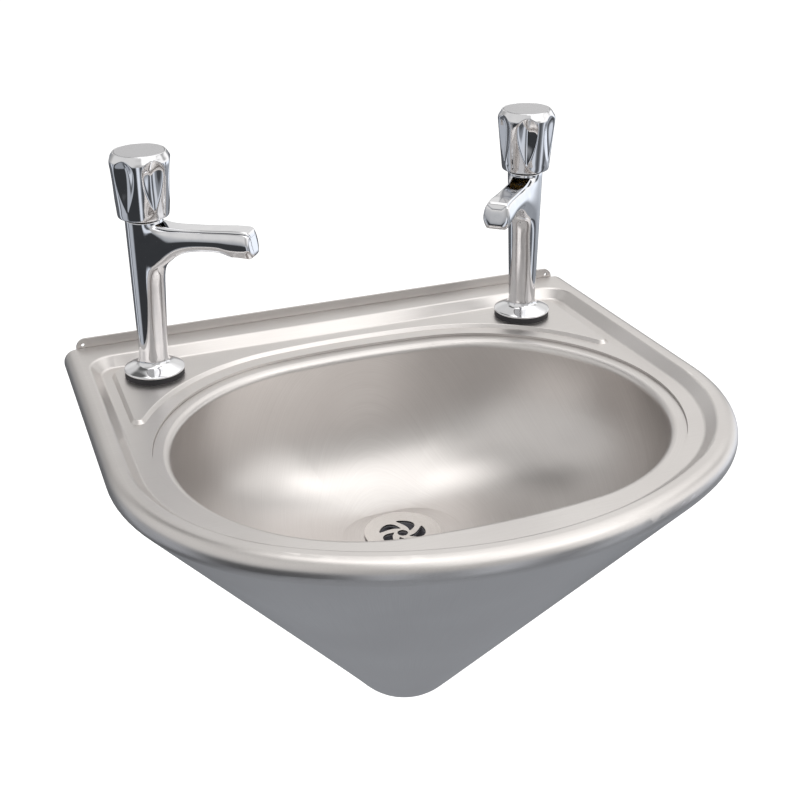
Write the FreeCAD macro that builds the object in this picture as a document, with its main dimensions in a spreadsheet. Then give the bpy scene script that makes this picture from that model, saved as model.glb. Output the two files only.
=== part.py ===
import FreeCAD, Part
import math
import os
import Sketcher

# Wall-hung hand basin of stainless steel with two screw-down pillar taps and a slotted waste.
# Millimetres. +Z is up, +Y points into the wall and the user stands at -Y.
# The origin is on the wall face, midway along the basin, at the height of the rim's top.

DIMENSIONS = {
    # Rim deck, in plan
    "deck_width": 432.0,
    "deck_front": 383.0,
    "deck_front_reach": 56.0,
    "deck_front_bulge": 17.0,
    "deck_splay_angle": 1.8,
    "deck_back_corner_radius": 10.0,
    "back_edge_round": 3.0,
    # Rim deck, in section
    "deck_sheet": 1.5,
    "rim_roll": 9.0,
    "rim_land": 1.0,
    "wall_angle": 41.0,
    "border_side": 14.5,
    "border_back": 22.5,
    "moat_corner_radius": 20.0,
    "moat_depth": 7.5,
    "moat_slope_angle": 45.0,
    "moat_round": 3.0,
    "ledge_drop": 5.0,
    "ledge_slope_angle": 45.0,
    "ledge_round": 1.0,
    "ledge_side_gap": 7.0,
    "ledge_back_gap": 4.0,
    "ledge_ring_gap": 11.0,
    "ledge_corner_radius": 14.0,
    "ledge_tip_radius": 5.5,
    # Bowl
    "bowl_sheet": 1.2,
    "ring_side_gap": 33.0,
    "ring_front_gap": 40.5,
    "ring_back_gap": 61.5,
    "ring_bulge": 2.5,
    "ring_drop": 9.5,
    "ring_land": 12.0,
    "ring_gap": 0.2,
    "bowl_lip": 5.0,
    "bowl_depth": 106.5,
    # Apron
    "apron_sheet": 1.2,
    "apron_tip_ahead": 1.5,
    "apron_tip_drop": 199.0,
    "apron_tip_radius": 48.0,
    "apron_side_angle": 20.0,
    "apron_cut_top": 40.0,
    "apron_cut_angle": 28.0,
    "apron_pipe_hole_radius": 29.0,
    # Wall plate
    "plate_thickness": 2.0,
    "plate_end_gap": 16.5,
    "plate_rise": 6.5,
    "plate_corner_radius": 7.0,
    "plate_skirt": 16.0,
    "plate_drop": 80.0,
    "plate_foot_width": 280.0,
    "wall_hole_radius": 4.25,
    "wall_hole_spacing": 220.0,
    "wall_hole_drop": 32.0,
    "wall_hole_rise": 30.0,
    "corner_hole_radius": 1.4,
    "corner_hole_inset": 5.0,
    # Places and seats of the taps
    "left_tap_from_side": 63.7,
    "right_tap_from_side": 71.2,
    "tap_from_wall": 57.0,
    "tap_hole_radius": 11.0,
    "left_spout_angle": -37.0,
    "right_spout_angle": -131.0,
    "left_handle_angle": -16.0,
    "right_handle_angle": 6.0,
    "rest_gap": 0.3,
    "running_gap": 0.05,
    # Tap body
    "tail_radius": 10.4,
    "tail_thread": 14.5,
    "tail_end_radius": 10.1,
    "tail_drop": 45.0,
    "tail_bore_radius": 6.5,
    "flange_radius": 22.0,
    "flange_rim": 1.5,
    "flange_crown": 4.6,
    "flange_shoulder_radius": 14.0,
    "flange_dome": 16.0,
    "neck_radius": 10.3,
    "neck_level": 14.0,
    "neck_hollow": 6.0,
    "column_top_radius": 13.4,
    "column_height": 119.5,
    "seat_depth": 34.5,
    "seat_radius": 5.2,
    "seat_lip": 1.4,
    "seat_lip_height": 2.5,
    "seat_land": 9.0,
    "chamber_radius": 9.0,
    # Spout
    "spout_width": 21.0,
    "spout_reach": 83.0,
    "spout_top_drop": 4.0,
    "spout_thickness": 11.5,
    "spout_throat": 16.0,
    "spout_nose_length": 19.0,
    "spout_nose_drop": 4.5,
    "spout_nose_slant": 7.5,
    "spout_top_round": 1.5,
    "spout_edge_round": 3.0,
    "spout_nose_round": 4.0,
    "waterway_radius": 3.2,
    "waterway_start": 7.0,
    "waterway_drop": 22.5,
    "waterway_angle": 38.0,
    "outlet_radius": 5.5,
    "outlet_recess": 0.7,
    # Nozzle insert
    "nozzle_height": 5.0,
    "nozzle_hole_radius": 1.1,
    "nozzle_hole_circle": 3.2,
    "nozzle_hole_count": 6.0,
    # Gasket, washer and nut that clamp the tap
    "gasket_radius": 21.5,
    "gasket_thickness": 4.0,
    "gasket_bore_gap": 0.2,
    "fixing_washer_radius": 16.5,
    "fixing_washer_thickness": 2.0,
    "fixing_washer_gap": 0.4,
    "back_nut_flats": 27.0,
    "back_nut_height": 8.0,
    "back_nut_gap": 0.08,
    # Headwork
    "headwork_seal_radius": 12.0,
    "headwork_seal_thickness": 1.0,
    "headwork_seal_gap": 0.15,
    "headwork_skirt": 16.5,
    "headwork_flats": 22.0,
    "headwork_hex_height": 5.0,
    "headwork_neck_radius": 7.5,
    "headwork_neck_height": 12.5,
    "spindle_radius": 4.0,
    "spindle_thread_radius": 3.5,
    "spindle_thread_length": 17.5,
    "spindle_collar_radius": 5.5,
    "spindle_collar_height": 3.0,
    "spindle_drive_flats": 7.0,
    "spindle_drive_height": 12.0,
    "spindle_screw_depth": 10.0,
    "seal_section_radius": 0.78,
    "seal_groove_height": 2.1,
    "seal_groove_level": 2.7,
    # Valve
    "plunger_flats": 11.2,
    "plunger_gap": 0.1,
    "plunger_length": 17.7,
    "plunger_floor": 4.0,
    "plunger_spigot_radius": 1.5,
    "plunger_spigot_length": 2.4,
    "valve_washer_radius": 6.3,
    "valve_washer_thickness": 3.0,
    # Handle
    "handle_gap": 2.0,
    "handle_height": 47.0,
    "handle_foot_radius": 18.0,
    "handle_crown_radius": 22.0,
    "handle_crown_level": 40.5,
    "handle_top_radius": 18.6,
    "handle_shoulder": 5.0,
    "handle_edge_round": 0.8,
    "handle_cavity_radius": 15.5,
    "handle_cavity_height": 18.5,
    "handle_flute_count": 6.0,
    "flute_tool_radius": 14.0,
    "flute_bottom_radius": 17.5,
    "flute_tool_level": 30.0,
    "drive_gap": 0.05,
    "index_radius": 17.6,
    "index_thickness": 2.3,
    "index_edge": 0.4,
    "screw_radius": 1.9,
    "screw_gap": 0.08,
    "screw_length": 12.0,
    "screw_head_radius": 3.8,
    "screw_head_height": 3.5,
    "screw_head_gap": 0.2,
    "screw_socket_flats": 3.0,
    "screw_socket_depth": 2.0,
    # Waste
    "waste_behind_middle": 40.0,
    "waste_flange_radius": 28.0,
    "waste_flange_rim": 0.8,
    "waste_dish_radius": 23.5,
    "waste_dish": 0.9,
    "waste_grid_thickness": 2.2,
    "waste_tail_radius": 20.95,
    "waste_thread_length": 20.0,
    "waste_outlet_radius": 20.0,
    "waste_tail_length": 57.5,
    "waste_bore_radius": 17.0,
    "waste_hole_gap": 0.55,
    "waste_centre_hole_radius": 4.0,
    "waste_slot_count": 5.0,
    "slot_inner_radius": 6.2,
    "slot_outer_radius": 14.8,
    "slot_turn_angle": 30.0,
    "slot_start_angle": 40.0,
    "slot_end_radius": 4.3,
    "slot_bow": 10.0,
    "waste_top_seal_radius": 27.5,
    "waste_top_seal_thickness": 1.0,
    "waste_seal_gap": 0.25,
    "waste_bottom_seal_radius": 29.0,
    "waste_bottom_seal_thickness": 5.0,
    "waste_nut_flats": 54.0,
    "waste_nut_height": 9.3,
    "waste_nut_gap": 0.08,
    # How far a cut runs past the material
    "overrun": 3.0,
}

# Sections of the bowl: how far each has come down, and its size against the mouth.
BOWL_DROP_SHARES = (0.0, 0.42, 0.70, 0.875, 0.965, 1.0)
BOWL_SIZE_SHARES = (1.0, 0.952, 0.81, 0.61, 0.41, 0.26)
BOWL_LEAN_SHARES = (1.0, 0.95, 0.75, 0.45, 0.2, 0.0)
EDGE_MATCH_SHARE = 0.01


class Size:
    """A length or an angle together with the formula that the document keeps for it."""

    def __init__(self, value, formula):
        self.value = value
        self.formula = formula

    def __add__(self, other):
        other = as_size(other)
        return Size(self.value + other.value, "(%s + %s)" % (self.formula, other.formula))

    def __sub__(self, other):
        other = as_size(other)
        return Size(self.value - other.value, "(%s - %s)" % (self.formula, other.formula))

    def __mul__(self, other):
        other = as_size(other)
        return Size(self.value * other.value, "(%s * %s)" % (self.formula, other.formula))

    def __truediv__(self, other):
        other = as_size(other)
        return Size(self.value / other.value, "(%s / %s)" % (self.formula, other.formula))

    def __neg__(self):
        return Size(-self.value, "(0 - %s)" % self.formula)


def as_size(number):
    return number if isinstance(number, Size) else Size(float(number), repr(number))


def root(area):
    return Size(math.sqrt(area.value), "sqrt(%s)" % area.formula)


def cosine(angle):
    return Size(math.cos(math.radians(angle.value)), "cos(%s * 1 deg)" % angle.formula)


def sine(angle):
    return Size(math.sin(math.radians(angle.value)), "sin(%s * 1 deg)" % angle.formula)


ZERO = Size(0.0, "0")
doc = FreeCAD.newDocument("hand_basin")


def make_sheet(dimensions):
    sheet = doc.addObject("Spreadsheet::Sheet", "Sizes")
    for row, (name, value) in enumerate(dimensions.items(), start=1):
        sheet.set("A%d" % row, name)
        sheet.set("B%d" % row, repr(value))
        sheet.setAlias("B%d" % row, name)
    return {name: Size(value, "Sizes.%s" % name) for name, value in dimensions.items()}


size = make_sheet(DIMENSIONS)
doc.recompute()
overrun = size["overrun"]


class Arc:
    """A rounded step of an outline: its radius, and 1 for a left turn or -1 for a right turn."""

    def __init__(self, radius, turn=1):
        self.radius = radius
        self.turn = turn


def arc_geometry(start, end, arc):
    chord = end - start
    radius = arc.radius.value
    sagitta = radius - math.sqrt(max(radius ** 2 - chord.Length ** 2 / 4, 0.0))
    outward = FreeCAD.Vector(chord.y, -chord.x, 0).normalize() * arc.turn
    return Part.Arc(start, (start + end) / 2 + outward * sagitta, end)


def origin_item(body, role):
    return next(item for item in body.Origin.OriginFeatures if item.Role == role)


def new_body(name):
    body = doc.addObject("PartDesign::Body", name)
    body.Label = name
    return body


def new_sketch(body, name, plane="XY_Plane", height=ZERO):
    sketch = body.newObject("Sketcher::SketchObject", "%s_%s" % (body.Name, name))
    sketch.AttachmentSupport = [(origin_item(body, plane), "")]
    sketch.MapMode = "FlatFace"
    if height is not ZERO:
        sketch.setExpression("AttachmentOffset.Base.z", height.formula)
    return sketch


def hold_point(sketch, geometry, point, place):
    for kind, axis, value in (("DistanceX", -2, place[0]), ("DistanceY", -1, place[1])):
        if value is ZERO:
            sketch.addConstraint(Sketcher.Constraint("PointOnObject", geometry, point, axis))
        else:
            held = Sketcher.Constraint(kind, -1, 1, geometry, point, value.value)
            sketch.setExpression("Constraints[%d]" % sketch.addConstraint(held), value.formula)


def hold_radius(sketch, geometry, radius):
    held = Sketcher.Constraint("Radius", geometry, radius.value)
    sketch.setExpression("Constraints[%d]" % sketch.addConstraint(held), radius.formula)


def add_loop(sketch, steps):
    """A closed outline. Each step is a corner, with the arc that leads on from it if there is one."""
    arcs = [step[2] if len(step) > 2 else None for step in steps]
    places = [FreeCAD.Vector(step[0].value, step[1].value, 0) for step in steps]
    first = sketch.GeometryCount
    ends = []
    for index, arc in enumerate(arcs):
        start = places[index]
        end = places[(index + 1) % len(places)]
        shape = Part.LineSegment(start, end) if arc is None else arc_geometry(start, end, arc)
        sketch.addGeometry(shape)
        ends.append((2, 1) if arc is not None and arc.turn < 0 else (1, 2))
    for index, (_, leaving) in enumerate(ends):
        following = (index + 1) % len(ends)
        arriving = ends[following][0]
        joined = Sketcher.Constraint("Coincident", first + index, leaving, first + following, arriving)
        sketch.addConstraint(joined)
    for index, step in enumerate(steps):
        hold_point(sketch, first + index, ends[index][0], step[:2])
        if arcs[index] is not None:
            hold_radius(sketch, first + index, arcs[index].radius)


def add_circle(sketch, across, up, radius):
    centre = FreeCAD.Vector(across.value, up.value, 0)
    number = sketch.addGeometry(Part.Circle(centre, FreeCAD.Vector(0, 0, 1), radius.value))
    hold_point(sketch, number, 3, (across, up))
    hold_radius(sketch, number, radius)


def rectangle(left, bottom, right, top):
    return [(left, bottom), (right, bottom), (right, top), (left, top)]


def hexagon(flats):
    reach = flats / root(as_size(3))
    half = reach / 2
    side = flats / 2
    return [(reach, ZERO), (half, side), (-half, side), (-reach, ZERO), (-half, -side), (half, -side)]


def add_feature(body, kind, name):
    return body.newObject("PartDesign::%s" % kind, "%s_%s" % (body.Name, name))


def pad(body, name, sketch, length, downwards=False, midplane=False):
    feature = add_feature(body, "Pad", name)
    feature.Profile = sketch
    feature.setExpression("Length", length.formula)
    feature.Reversed = downwards
    feature.Midplane = midplane
    return feature


def pocket(body, name, sketch, length, upwards=False, midplane=False):
    feature = add_feature(body, "Pocket", name)
    feature.Profile = sketch
    feature.setExpression("Length", length.formula)
    feature.Reversed = upwards
    feature.Midplane = midplane
    return feature


def turned(body, name, sketch, kind="Revolution"):
    feature = add_feature(body, kind, name)
    feature.Profile = sketch
    feature.ReferenceAxis = (sketch, ["V_Axis"])
    feature.Angle = 360.0
    return feature


def loft(body, name, sketches, ruled=False):
    feature = add_feature(body, "AdditiveLoft", name)
    feature.Profile = sketches[0]
    feature.Sections = sketches[1:]
    feature.Ruled = ruled
    return feature


def round_edges(body, name, radius, wanted):
    doc.recompute()
    base = body.Tip
    names = ["Edge%d" % n for n, edge in enumerate(base.Shape.Edges, start=1) if wanted(edge)]
    feature = add_feature(body, "Fillet", name)
    feature.Base = (base, names)
    feature.setExpression("Radius", radius.formula)
    return feature


def ring_pattern(body, name, feature, count):
    pattern = add_feature(body, "PolarPattern", name)
    pattern.Originals = [feature]
    pattern.Axis = (origin_item(body, "Z_Axis"), [""])
    pattern.Angle = 360.0
    pattern.setExpression("Occurrences", count.formula)
    body.Tip = pattern
    return pattern


def is_at(height, level):
    return abs(height - level.value) < EDGE_MATCH_SHARE * size["deck_sheet"].value


def flat_at(edge, level):
    return is_at(edge.BoundBox.ZMin, level) and is_at(edge.BoundBox.ZMax, level)


def put(body, across, along, level, angle=None):
    body.Placement = FreeCAD.Placement(FreeCAD.Vector(), FreeCAD.Rotation(FreeCAD.Vector(0, 0, 1), 1.0))
    body.setExpression("Placement.Base.x", across.formula)
    body.setExpression("Placement.Base.y", along.formula)
    body.setExpression("Placement.Base.z", level.formula)
    body.setExpression("Placement.Rotation.Angle", (angle or ZERO).formula)


def ring_piece(name, inner, outer, bottom, thickness):
    """A flat washer about the Z axis."""
    body = new_body(name)
    section = new_sketch(body, "section", "XZ_Plane")
    add_loop(section, rectangle(inner, bottom, outer, bottom + thickness))
    turned(body, "ring", section)
    return body


# Sizes that follow from the deck's own, and places measured from it.
deck_corner = size["deck_width"] / 2 - size["deck_front_reach"]
ring_width = size["deck_width"] - size["ring_side_gap"] * 2
ring_depth = size["deck_front"] - size["ring_front_gap"] - size["ring_back_gap"]
ring_from_wall = size["ring_back_gap"] + ring_depth / 2
waste_from_wall = ring_from_wall - size["waste_behind_middle"]
apron_from_wall = waste_from_wall + size["apron_tip_ahead"]
left_tap_from_middle = size["deck_width"] / 2 - size["left_tap_from_side"]
right_tap_from_middle = size["deck_width"] / 2 - size["right_tap_from_side"]

# The rim deck and the apron share the D outline.


def deck_outline(inset, back_inset, back_corner):
    """The D of the rim in plan: straight back, splayed sides, round corners and a bowed front."""
    corner = deck_corner - inset
    bulge = size["deck_front_bulge"]
    centre_x = size["deck_front_reach"]
    centre_y = deck_corner + bulge - size["deck_front"]
    rise = corner + bulge
    front = (centre_x * centre_x + rise * rise - corner * corner) / (bulge * 2)
    front_centre = inset - size["deck_front"] + front
    joint_x = centre_x / (front - corner) * front
    joint_y = front_centre + (centre_y - front_centre) / (front - corner) * front
    lean = cosine(size["deck_splay_angle"])
    tilt = sine(size["deck_splay_angle"])
    side_x = centre_x + corner * lean
    side_y = centre_y + corner * tilt
    back = -size["plate_thickness"] - back_inset
    round_y = back - back_corner
    round_x = (centre_x * lean + centre_y * tilt + corner - back_corner - round_y * tilt) / lean
    top_x = round_x + back_corner * lean
    top_y = round_y + back_corner * tilt
    return [
        (-joint_x, joint_y, Arc(front)),
        (joint_x, joint_y, Arc(corner)),
        (side_x, side_y),
        (top_x, top_y, Arc(back_corner)),
        (round_x, back),
        (-round_x, back, Arc(back_corner)),
        (-top_x, top_y),
        (-side_x, side_y, Arc(corner)),
    ]


def oval(half_width, half_depth, bulge, centre):
    """Four tangent arcs: two round ends and two gently bowed sides."""
    end = half_depth - bulge
    reach = half_width - end
    side = (reach * reach + half_depth * half_depth - end * end) / (bulge * 2)
    joint_x = reach / (side - end) * side
    joint_y = half_depth - side + (side - half_depth) / (side - end) * side
    return [
        (joint_x, centre - joint_y, Arc(end)),
        (joint_x, centre + joint_y, Arc(side)),
        (-joint_x, centre + joint_y, Arc(end)),
        (-joint_x, centre - joint_y, Arc(side)),
    ]


def ring_oval(inset):
    half_width = ring_width / 2 - inset
    half_depth = ring_depth / 2 - inset
    return oval(half_width, half_depth, size["ring_bulge"], -ring_from_wall)


corner_centre = deck_corner + size["deck_front_bulge"] - size["deck_front"]
side_reach = (
    size["deck_front_reach"] * cosine(size["deck_splay_angle"])
    + corner_centre * sine(size["deck_splay_angle"])
    + deck_corner)
rim_depth = size["rim_roll"] + size["rim_land"] + size["rim_roll"] * sine(size["wall_angle"])
rim_foot_inset = size["rim_roll"] - size["rim_roll"] * cosine(size["wall_angle"])
recess_depth = size["ring_drop"] + size["bowl_sheet"]
seat_width = size["ring_land"] - size["bowl_lip"] - size["rest_gap"]


def ledge_outline(inset):
    """Both tap ledges and the narrow band that joins them behind the bowl."""
    slope = size["moat_depth"] * sine(size["moat_slope_angle"]) / cosine(size["moat_slope_angle"])
    lean = cosine(size["deck_splay_angle"])
    tilt = sine(size["deck_splay_angle"])
    side = side_reach - size["border_side"] - slope - size["ledge_side_gap"] - inset
    back = -size["plate_thickness"] - size["border_back"] - slope - size["ledge_back_gap"] - inset
    corner = size["ledge_corner_radius"] - inset
    tip = size["ledge_tip_radius"] - inset
    gap = size["ledge_ring_gap"] + inset
    band = ring_oval(-gap)
    joint_x, joint_y, _ = band[1]
    end = ring_depth / 2 + gap - size["ring_bulge"]
    end_x = (ring_width - ring_depth) / 2 + size["ring_bulge"]
    end_y = -ring_from_wall
    reach = end + tip
    along = side - tip - end_x * lean - end_y * tilt
    across = root(reach * reach - along * along)
    tip_x = end_x + along * lean - across * tilt
    tip_y = end_y + along * tilt + across * lean
    touch_x = end_x + (tip_x - end_x) / reach * end
    touch_y = end_y + (tip_y - end_y) / reach * end
    side_x = tip_x + tip * lean
    side_y = tip_y + tip * tilt
    round_y = back - corner
    round_x = (side - corner - round_y * tilt) / lean
    return [
        (touch_x, touch_y, Arc(tip)),
        (side_x, side_y),
        (round_x + corner * lean, round_y + corner * tilt, Arc(corner)),
        (round_x, back),
        (-round_x, back, Arc(corner)),
        (-round_x - corner * lean, round_y + corner * tilt),
        (-side_x, side_y, Arc(tip)),
        (-touch_x, touch_y, Arc(end, -1)),
        (-joint_x, joint_y, Arc(band[1][2].radius, -1)),
        (joint_x, joint_y, Arc(end, -1)),
    ]


def deck_form(name, inset):
    """The pressed form of the deck. The outside has no inset, the inside is one sheet further in."""
    body = new_body(name)
    top = -inset
    roll = size["rim_roll"] - inset
    bead = roll * 2 + size["rim_land"]
    past_back = size["deck_back_corner_radius"] + overrun
    blank = new_sketch(body, "blank", height=top)
    add_loop(blank, deck_outline(inset, -past_back, size["deck_back_corner_radius"] - inset))
    pad(body, "bead", blank, bead, downwards=True)
    round_edges(body, "roll", roll, lambda edge: flat_at(edge, top) or flat_at(edge, top - bead))

    square = new_sketch(body, "square_back", height=top + overrun)
    back = -size["plate_thickness"] - inset
    half = size["deck_width"] / 2
    add_loop(square, rectangle(-half, back, half, back + past_back + overrun + inset))
    pocket(body, "back_trim", square, bead + overrun * 2)

    slope = size["moat_slope_angle"]
    shift = inset * sine(slope / 2) / cosine(slope / 2)
    moat = new_sketch(body, "moat", height=top)
    add_loop(moat, deck_outline(
        size["border_side"] - shift, size["border_back"] - shift, size["moat_corner_radius"] + shift))
    press = pocket(body, "moat_press", moat, size["moat_depth"])
    press.setExpression("TaperAngle", (-slope).formula)
    floor = top - size["moat_depth"]
    hollow = size["moat_round"] + inset
    round_edges(body, "moat_foot", hollow, lambda edge: flat_at(edge, floor))
    crown = size["moat_round"] - inset
    round_edges(body, "moat_crown", crown, lambda edge: flat_at(edge, top) and moat_edge(edge))

    ledges = new_sketch(body, "ledges", height=floor)
    add_loop(ledges, ledge_outline(inset))
    press = pad(body, "ledge_press", ledges, size["moat_depth"] - size["ledge_drop"])
    press.setExpression("TaperAngle", (-size["ledge_slope_angle"]).formula)

    recess = new_sketch(body, "recess", height=floor)
    add_loop(recess, ring_oval(-size["ring_gap"] - inset))
    pocket(body, "recess_press", recess, recess_depth - size["moat_depth"])
    return body


def moat_edge(edge):
    """True for edges of the border's inner side, which lie further in than half the border."""
    box = edge.BoundBox
    half_border = size["border_side"].value / 2
    across = max(abs(box.XMin), abs(box.XMax))
    behind = -size["plate_thickness"].value - half_border
    in_front = half_border - size["deck_front"].value
    return across < size["deck_width"].value / 2 - half_border and box.YMin > in_front and box.YMax < behind


def is_back_edge(edge):
    """True for the upper edges of the deck's square back."""
    box = edge.BoundBox
    flat = is_at(box.YMin, -size["plate_thickness"]) and is_at(box.YMax, -size["plate_thickness"])
    return flat and box.ZMin > -(size["rim_roll"] + size["rim_land"] / 2).value


def make_rim_deck():
    outside = deck_form("deck_outside", ZERO)
    round_edges(outside, "ledge_crown", size["ledge_round"], lambda edge: flat_at(edge, -size["ledge_drop"]))
    round_edges(outside, "back_edge", size["back_edge_round"], is_back_edge)

    mouth = new_sketch(outside, "mouth", height=-recess_depth)
    add_loop(mouth, ring_oval(seat_width))
    pocket(outside, "opening", mouth, rim_depth)

    holes = new_sketch(outside, "tap_holes", height=ZERO)
    for across in (-left_tap_from_middle, right_tap_from_middle):
        add_circle(holes, across, -size["tap_from_wall"], size["tap_hole_radius"])
    pocket(outside, "tap_drilling", holes, rim_depth)

    foot = new_sketch(outside, "foot", height=-rim_depth)
    add_loop(foot, deck_outline(-overrun, -overrun, size["deck_back_corner_radius"] + overrun))
    pocket(outside, "trim", foot, size["rim_roll"])

    inside = deck_form("deck_inside", size["deck_sheet"])
    doc.recompute()
    deck = doc.addObject("Part::Cut", "rim_deck")
    deck.Base = outside
    deck.Tool = inside
    deck.Label = "rim_deck"
    return deck


bowl_floor = -size["ring_drop"] - size["bowl_depth"]


def bowl_sections(body, sheet):
    """Ovals from the mouth down to the flat floor, drifting back towards the waste."""
    sketches = []
    mouth_width = ring_width / 2 - size["ring_land"]
    mouth_depth = ring_depth / 2 - size["ring_land"]
    drift = ring_from_wall - waste_from_wall
    shares = zip(BOWL_DROP_SHARES, BOWL_SIZE_SHARES, BOWL_LEAN_SHARES)
    for number, (drop_share, size_share, lean_share) in enumerate(shares):
        drift_share = (1.0 - size_share) / (1.0 - BOWL_SIZE_SHARES[-1])
        wall = sheet * lean_share
        level = bowl_floor + size["bowl_depth"] * (1.0 - drop_share) - sheet + wall
        half_width = mouth_width * size_share + wall
        half_depth = mouth_depth * size_share + wall
        centre = drift * drift_share - ring_from_wall
        sketch = new_sketch(body, "section_%d" % number, height=level)
        add_loop(sketch, oval(half_width, half_depth, size["ring_bulge"] * size_share, centre))
        sketches.append(sketch)
    return sketches


def is_mouth(edge, level):
    """True for the edges of the bowl's mouth, which lie further in than half of the ring's land."""
    box = edge.BoundBox
    across = max(abs(box.XMin), abs(box.XMax))
    along = max(abs(box.YMin + ring_from_wall.value), abs(box.YMax + ring_from_wall.value))
    inside = across < (ring_width - size["ring_land"]).value / 2
    return flat_at(edge, level) and inside and along < (ring_depth - size["ring_land"]).value / 2


def make_bowl():
    top = -size["ring_drop"]
    outside = new_body("bowl_outside")
    ring = new_sketch(outside, "ring", height=top)
    add_loop(ring, ring_oval(ZERO))
    pad(outside, "flange", ring, size["bowl_sheet"], downwards=True)
    loft(outside, "shell", bowl_sections(outside, size["bowl_sheet"]))
    under_lip = size["bowl_lip"] - size["bowl_sheet"]
    round_edges(outside, "under_lip", under_lip, lambda edge: is_mouth(edge, -recess_depth))

    inside = new_body("bowl_inside")
    loft(inside, "shell", bowl_sections(inside, ZERO))
    cover = new_sketch(inside, "cover", height=top)
    add_loop(cover, ring_oval(-overrun))
    pad(inside, "cap", cover, size["ring_drop"])
    round_edges(inside, "lip", size["bowl_lip"], lambda edge: is_mouth(edge, top))
    hole = new_sketch(inside, "waste_hole", height=bowl_floor + overrun)
    add_circle(hole, ZERO, -waste_from_wall, size["waste_tail_radius"] + size["waste_hole_gap"])
    pad(inside, "waste_drill", hole, overrun * 2, downwards=True)
    return cut_piece("bowl", outside, inside)


def cut_piece(name, outside, inside):
    piece = doc.addObject("Part::Cut", name)
    piece.Base = outside
    piece.Tool = inside
    piece.Label = name
    return piece


def tip_circle(reach, outline):
    """The D outline's eight steps carried onto the tip's circle, so that the cone can be ruled."""
    front_x = outline[1][0] / outline[0][2].radius
    front_y = root(as_size(1) - front_x * front_x)
    turn_x = cosine(size["apron_side_angle"])
    turn_y = sine(size["apron_side_angle"])
    directions = [
        (-front_x, -front_y), (front_x, -front_y), (turn_x, -turn_y), (turn_x, turn_y),
        (turn_y, turn_x), (-turn_y, turn_x), (-turn_x, turn_y), (-turn_x, -turn_y),
    ]
    centre = -apron_from_wall
    return [(x * reach, centre + y * reach, Arc(reach)) for x, y in directions]


def apron_form(name, sheet):
    """A ruled cone from the D outline to a round tip, closed by a spherical cap."""
    body = new_body(name)
    lean = cosine(size["wall_angle"])
    inset = rim_foot_inset + sheet / lean
    outline = deck_outline(inset, inset, size["deck_back_corner_radius"] - inset)
    rim = new_sketch(body, "rim", height=-rim_depth)
    add_loop(rim, outline)
    tip_radius = size["apron_tip_radius"] - sheet
    tip_level = -size["apron_tip_drop"] - tip_radius * sine(size["wall_angle"])
    reach = tip_radius * lean
    tip = new_sketch(body, "tip", height=tip_level)
    add_loop(tip, tip_circle(reach, outline))
    loft(body, "cone", [rim, tip], ruled=True)
    cap = new_sketch(body, "cap", "XZ_Plane", apron_from_wall)
    pole = -size["apron_tip_drop"] - tip_radius
    add_loop(cap, [(ZERO, pole, Arc(tip_radius)), (reach, tip_level), (ZERO, tip_level)])
    turned(body, "dome", cap)
    return body


def make_apron():
    outside = apron_form("apron_outside", ZERO)
    top = overrun - rim_depth
    bottom = -size["apron_tip_drop"] - size["apron_tip_radius"] - overrun
    near = -size["plate_thickness"] - size["apron_cut_top"]
    slope = sine(size["apron_cut_angle"]) / cosine(size["apron_cut_angle"])
    far = near - (top - bottom) * slope
    opening = new_sketch(outside, "back_opening", "YZ_Plane")
    add_loop(opening, [(near, top), (far, bottom), (overrun, bottom), (overrun, top)])
    pocket(outside, "back_cut", opening, size["deck_width"], midplane=True)
    pipe = new_sketch(outside, "pipe_hole", height=bottom)
    add_circle(pipe, ZERO, -waste_from_wall, size["apron_pipe_hole_radius"])
    pocket(outside, "pipe_cut", pipe, size["apron_tip_radius"], upwards=True)
    return cut_piece("apron", outside, apron_form("apron_inside", size["apron_sheet"]))


def make_wall_plate():
    body = new_body("wall_plate")
    sheet = new_sketch(body, "outline", "XZ_Plane")
    half = size["deck_width"] / 2 - size["plate_end_gap"]
    foot = size["plate_foot_width"] / 2
    corner = size["plate_corner_radius"]
    top = size["plate_rise"]
    add_loop(sheet, [
        (half, -size["plate_skirt"]),
        (half, top - corner, Arc(corner)),
        (half - corner, top),
        (corner - half, top, Arc(corner)),
        (-half, top - corner),
        (-half, -size["plate_skirt"]),
        (-foot, -size["plate_drop"]),
        (foot, -size["plate_drop"]),
    ])
    pad(body, "sheet", sheet, size["plate_thickness"])
    holes = new_sketch(body, "holes", "XZ_Plane")
    for side in (-1, 1):
        across = size["wall_hole_spacing"] / 2 * side
        for level in (-size["wall_hole_drop"], -size["wall_hole_drop"] - size["wall_hole_rise"]):
            add_circle(holes, across, level, size["wall_hole_radius"])
        inset = size["corner_hole_inset"]
        add_circle(holes, (half - inset) * side, top - inset, size["corner_hole_radius"])
    pocket(body, "drilling", holes, size["plate_thickness"], upwards=True)
    return body


# The waste fitting, its seals and its nut stand in the hole of the bowl's floor.


def place_at_waste(body):
    put(body, ZERO, -waste_from_wall, bowl_floor)
    return body


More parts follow.
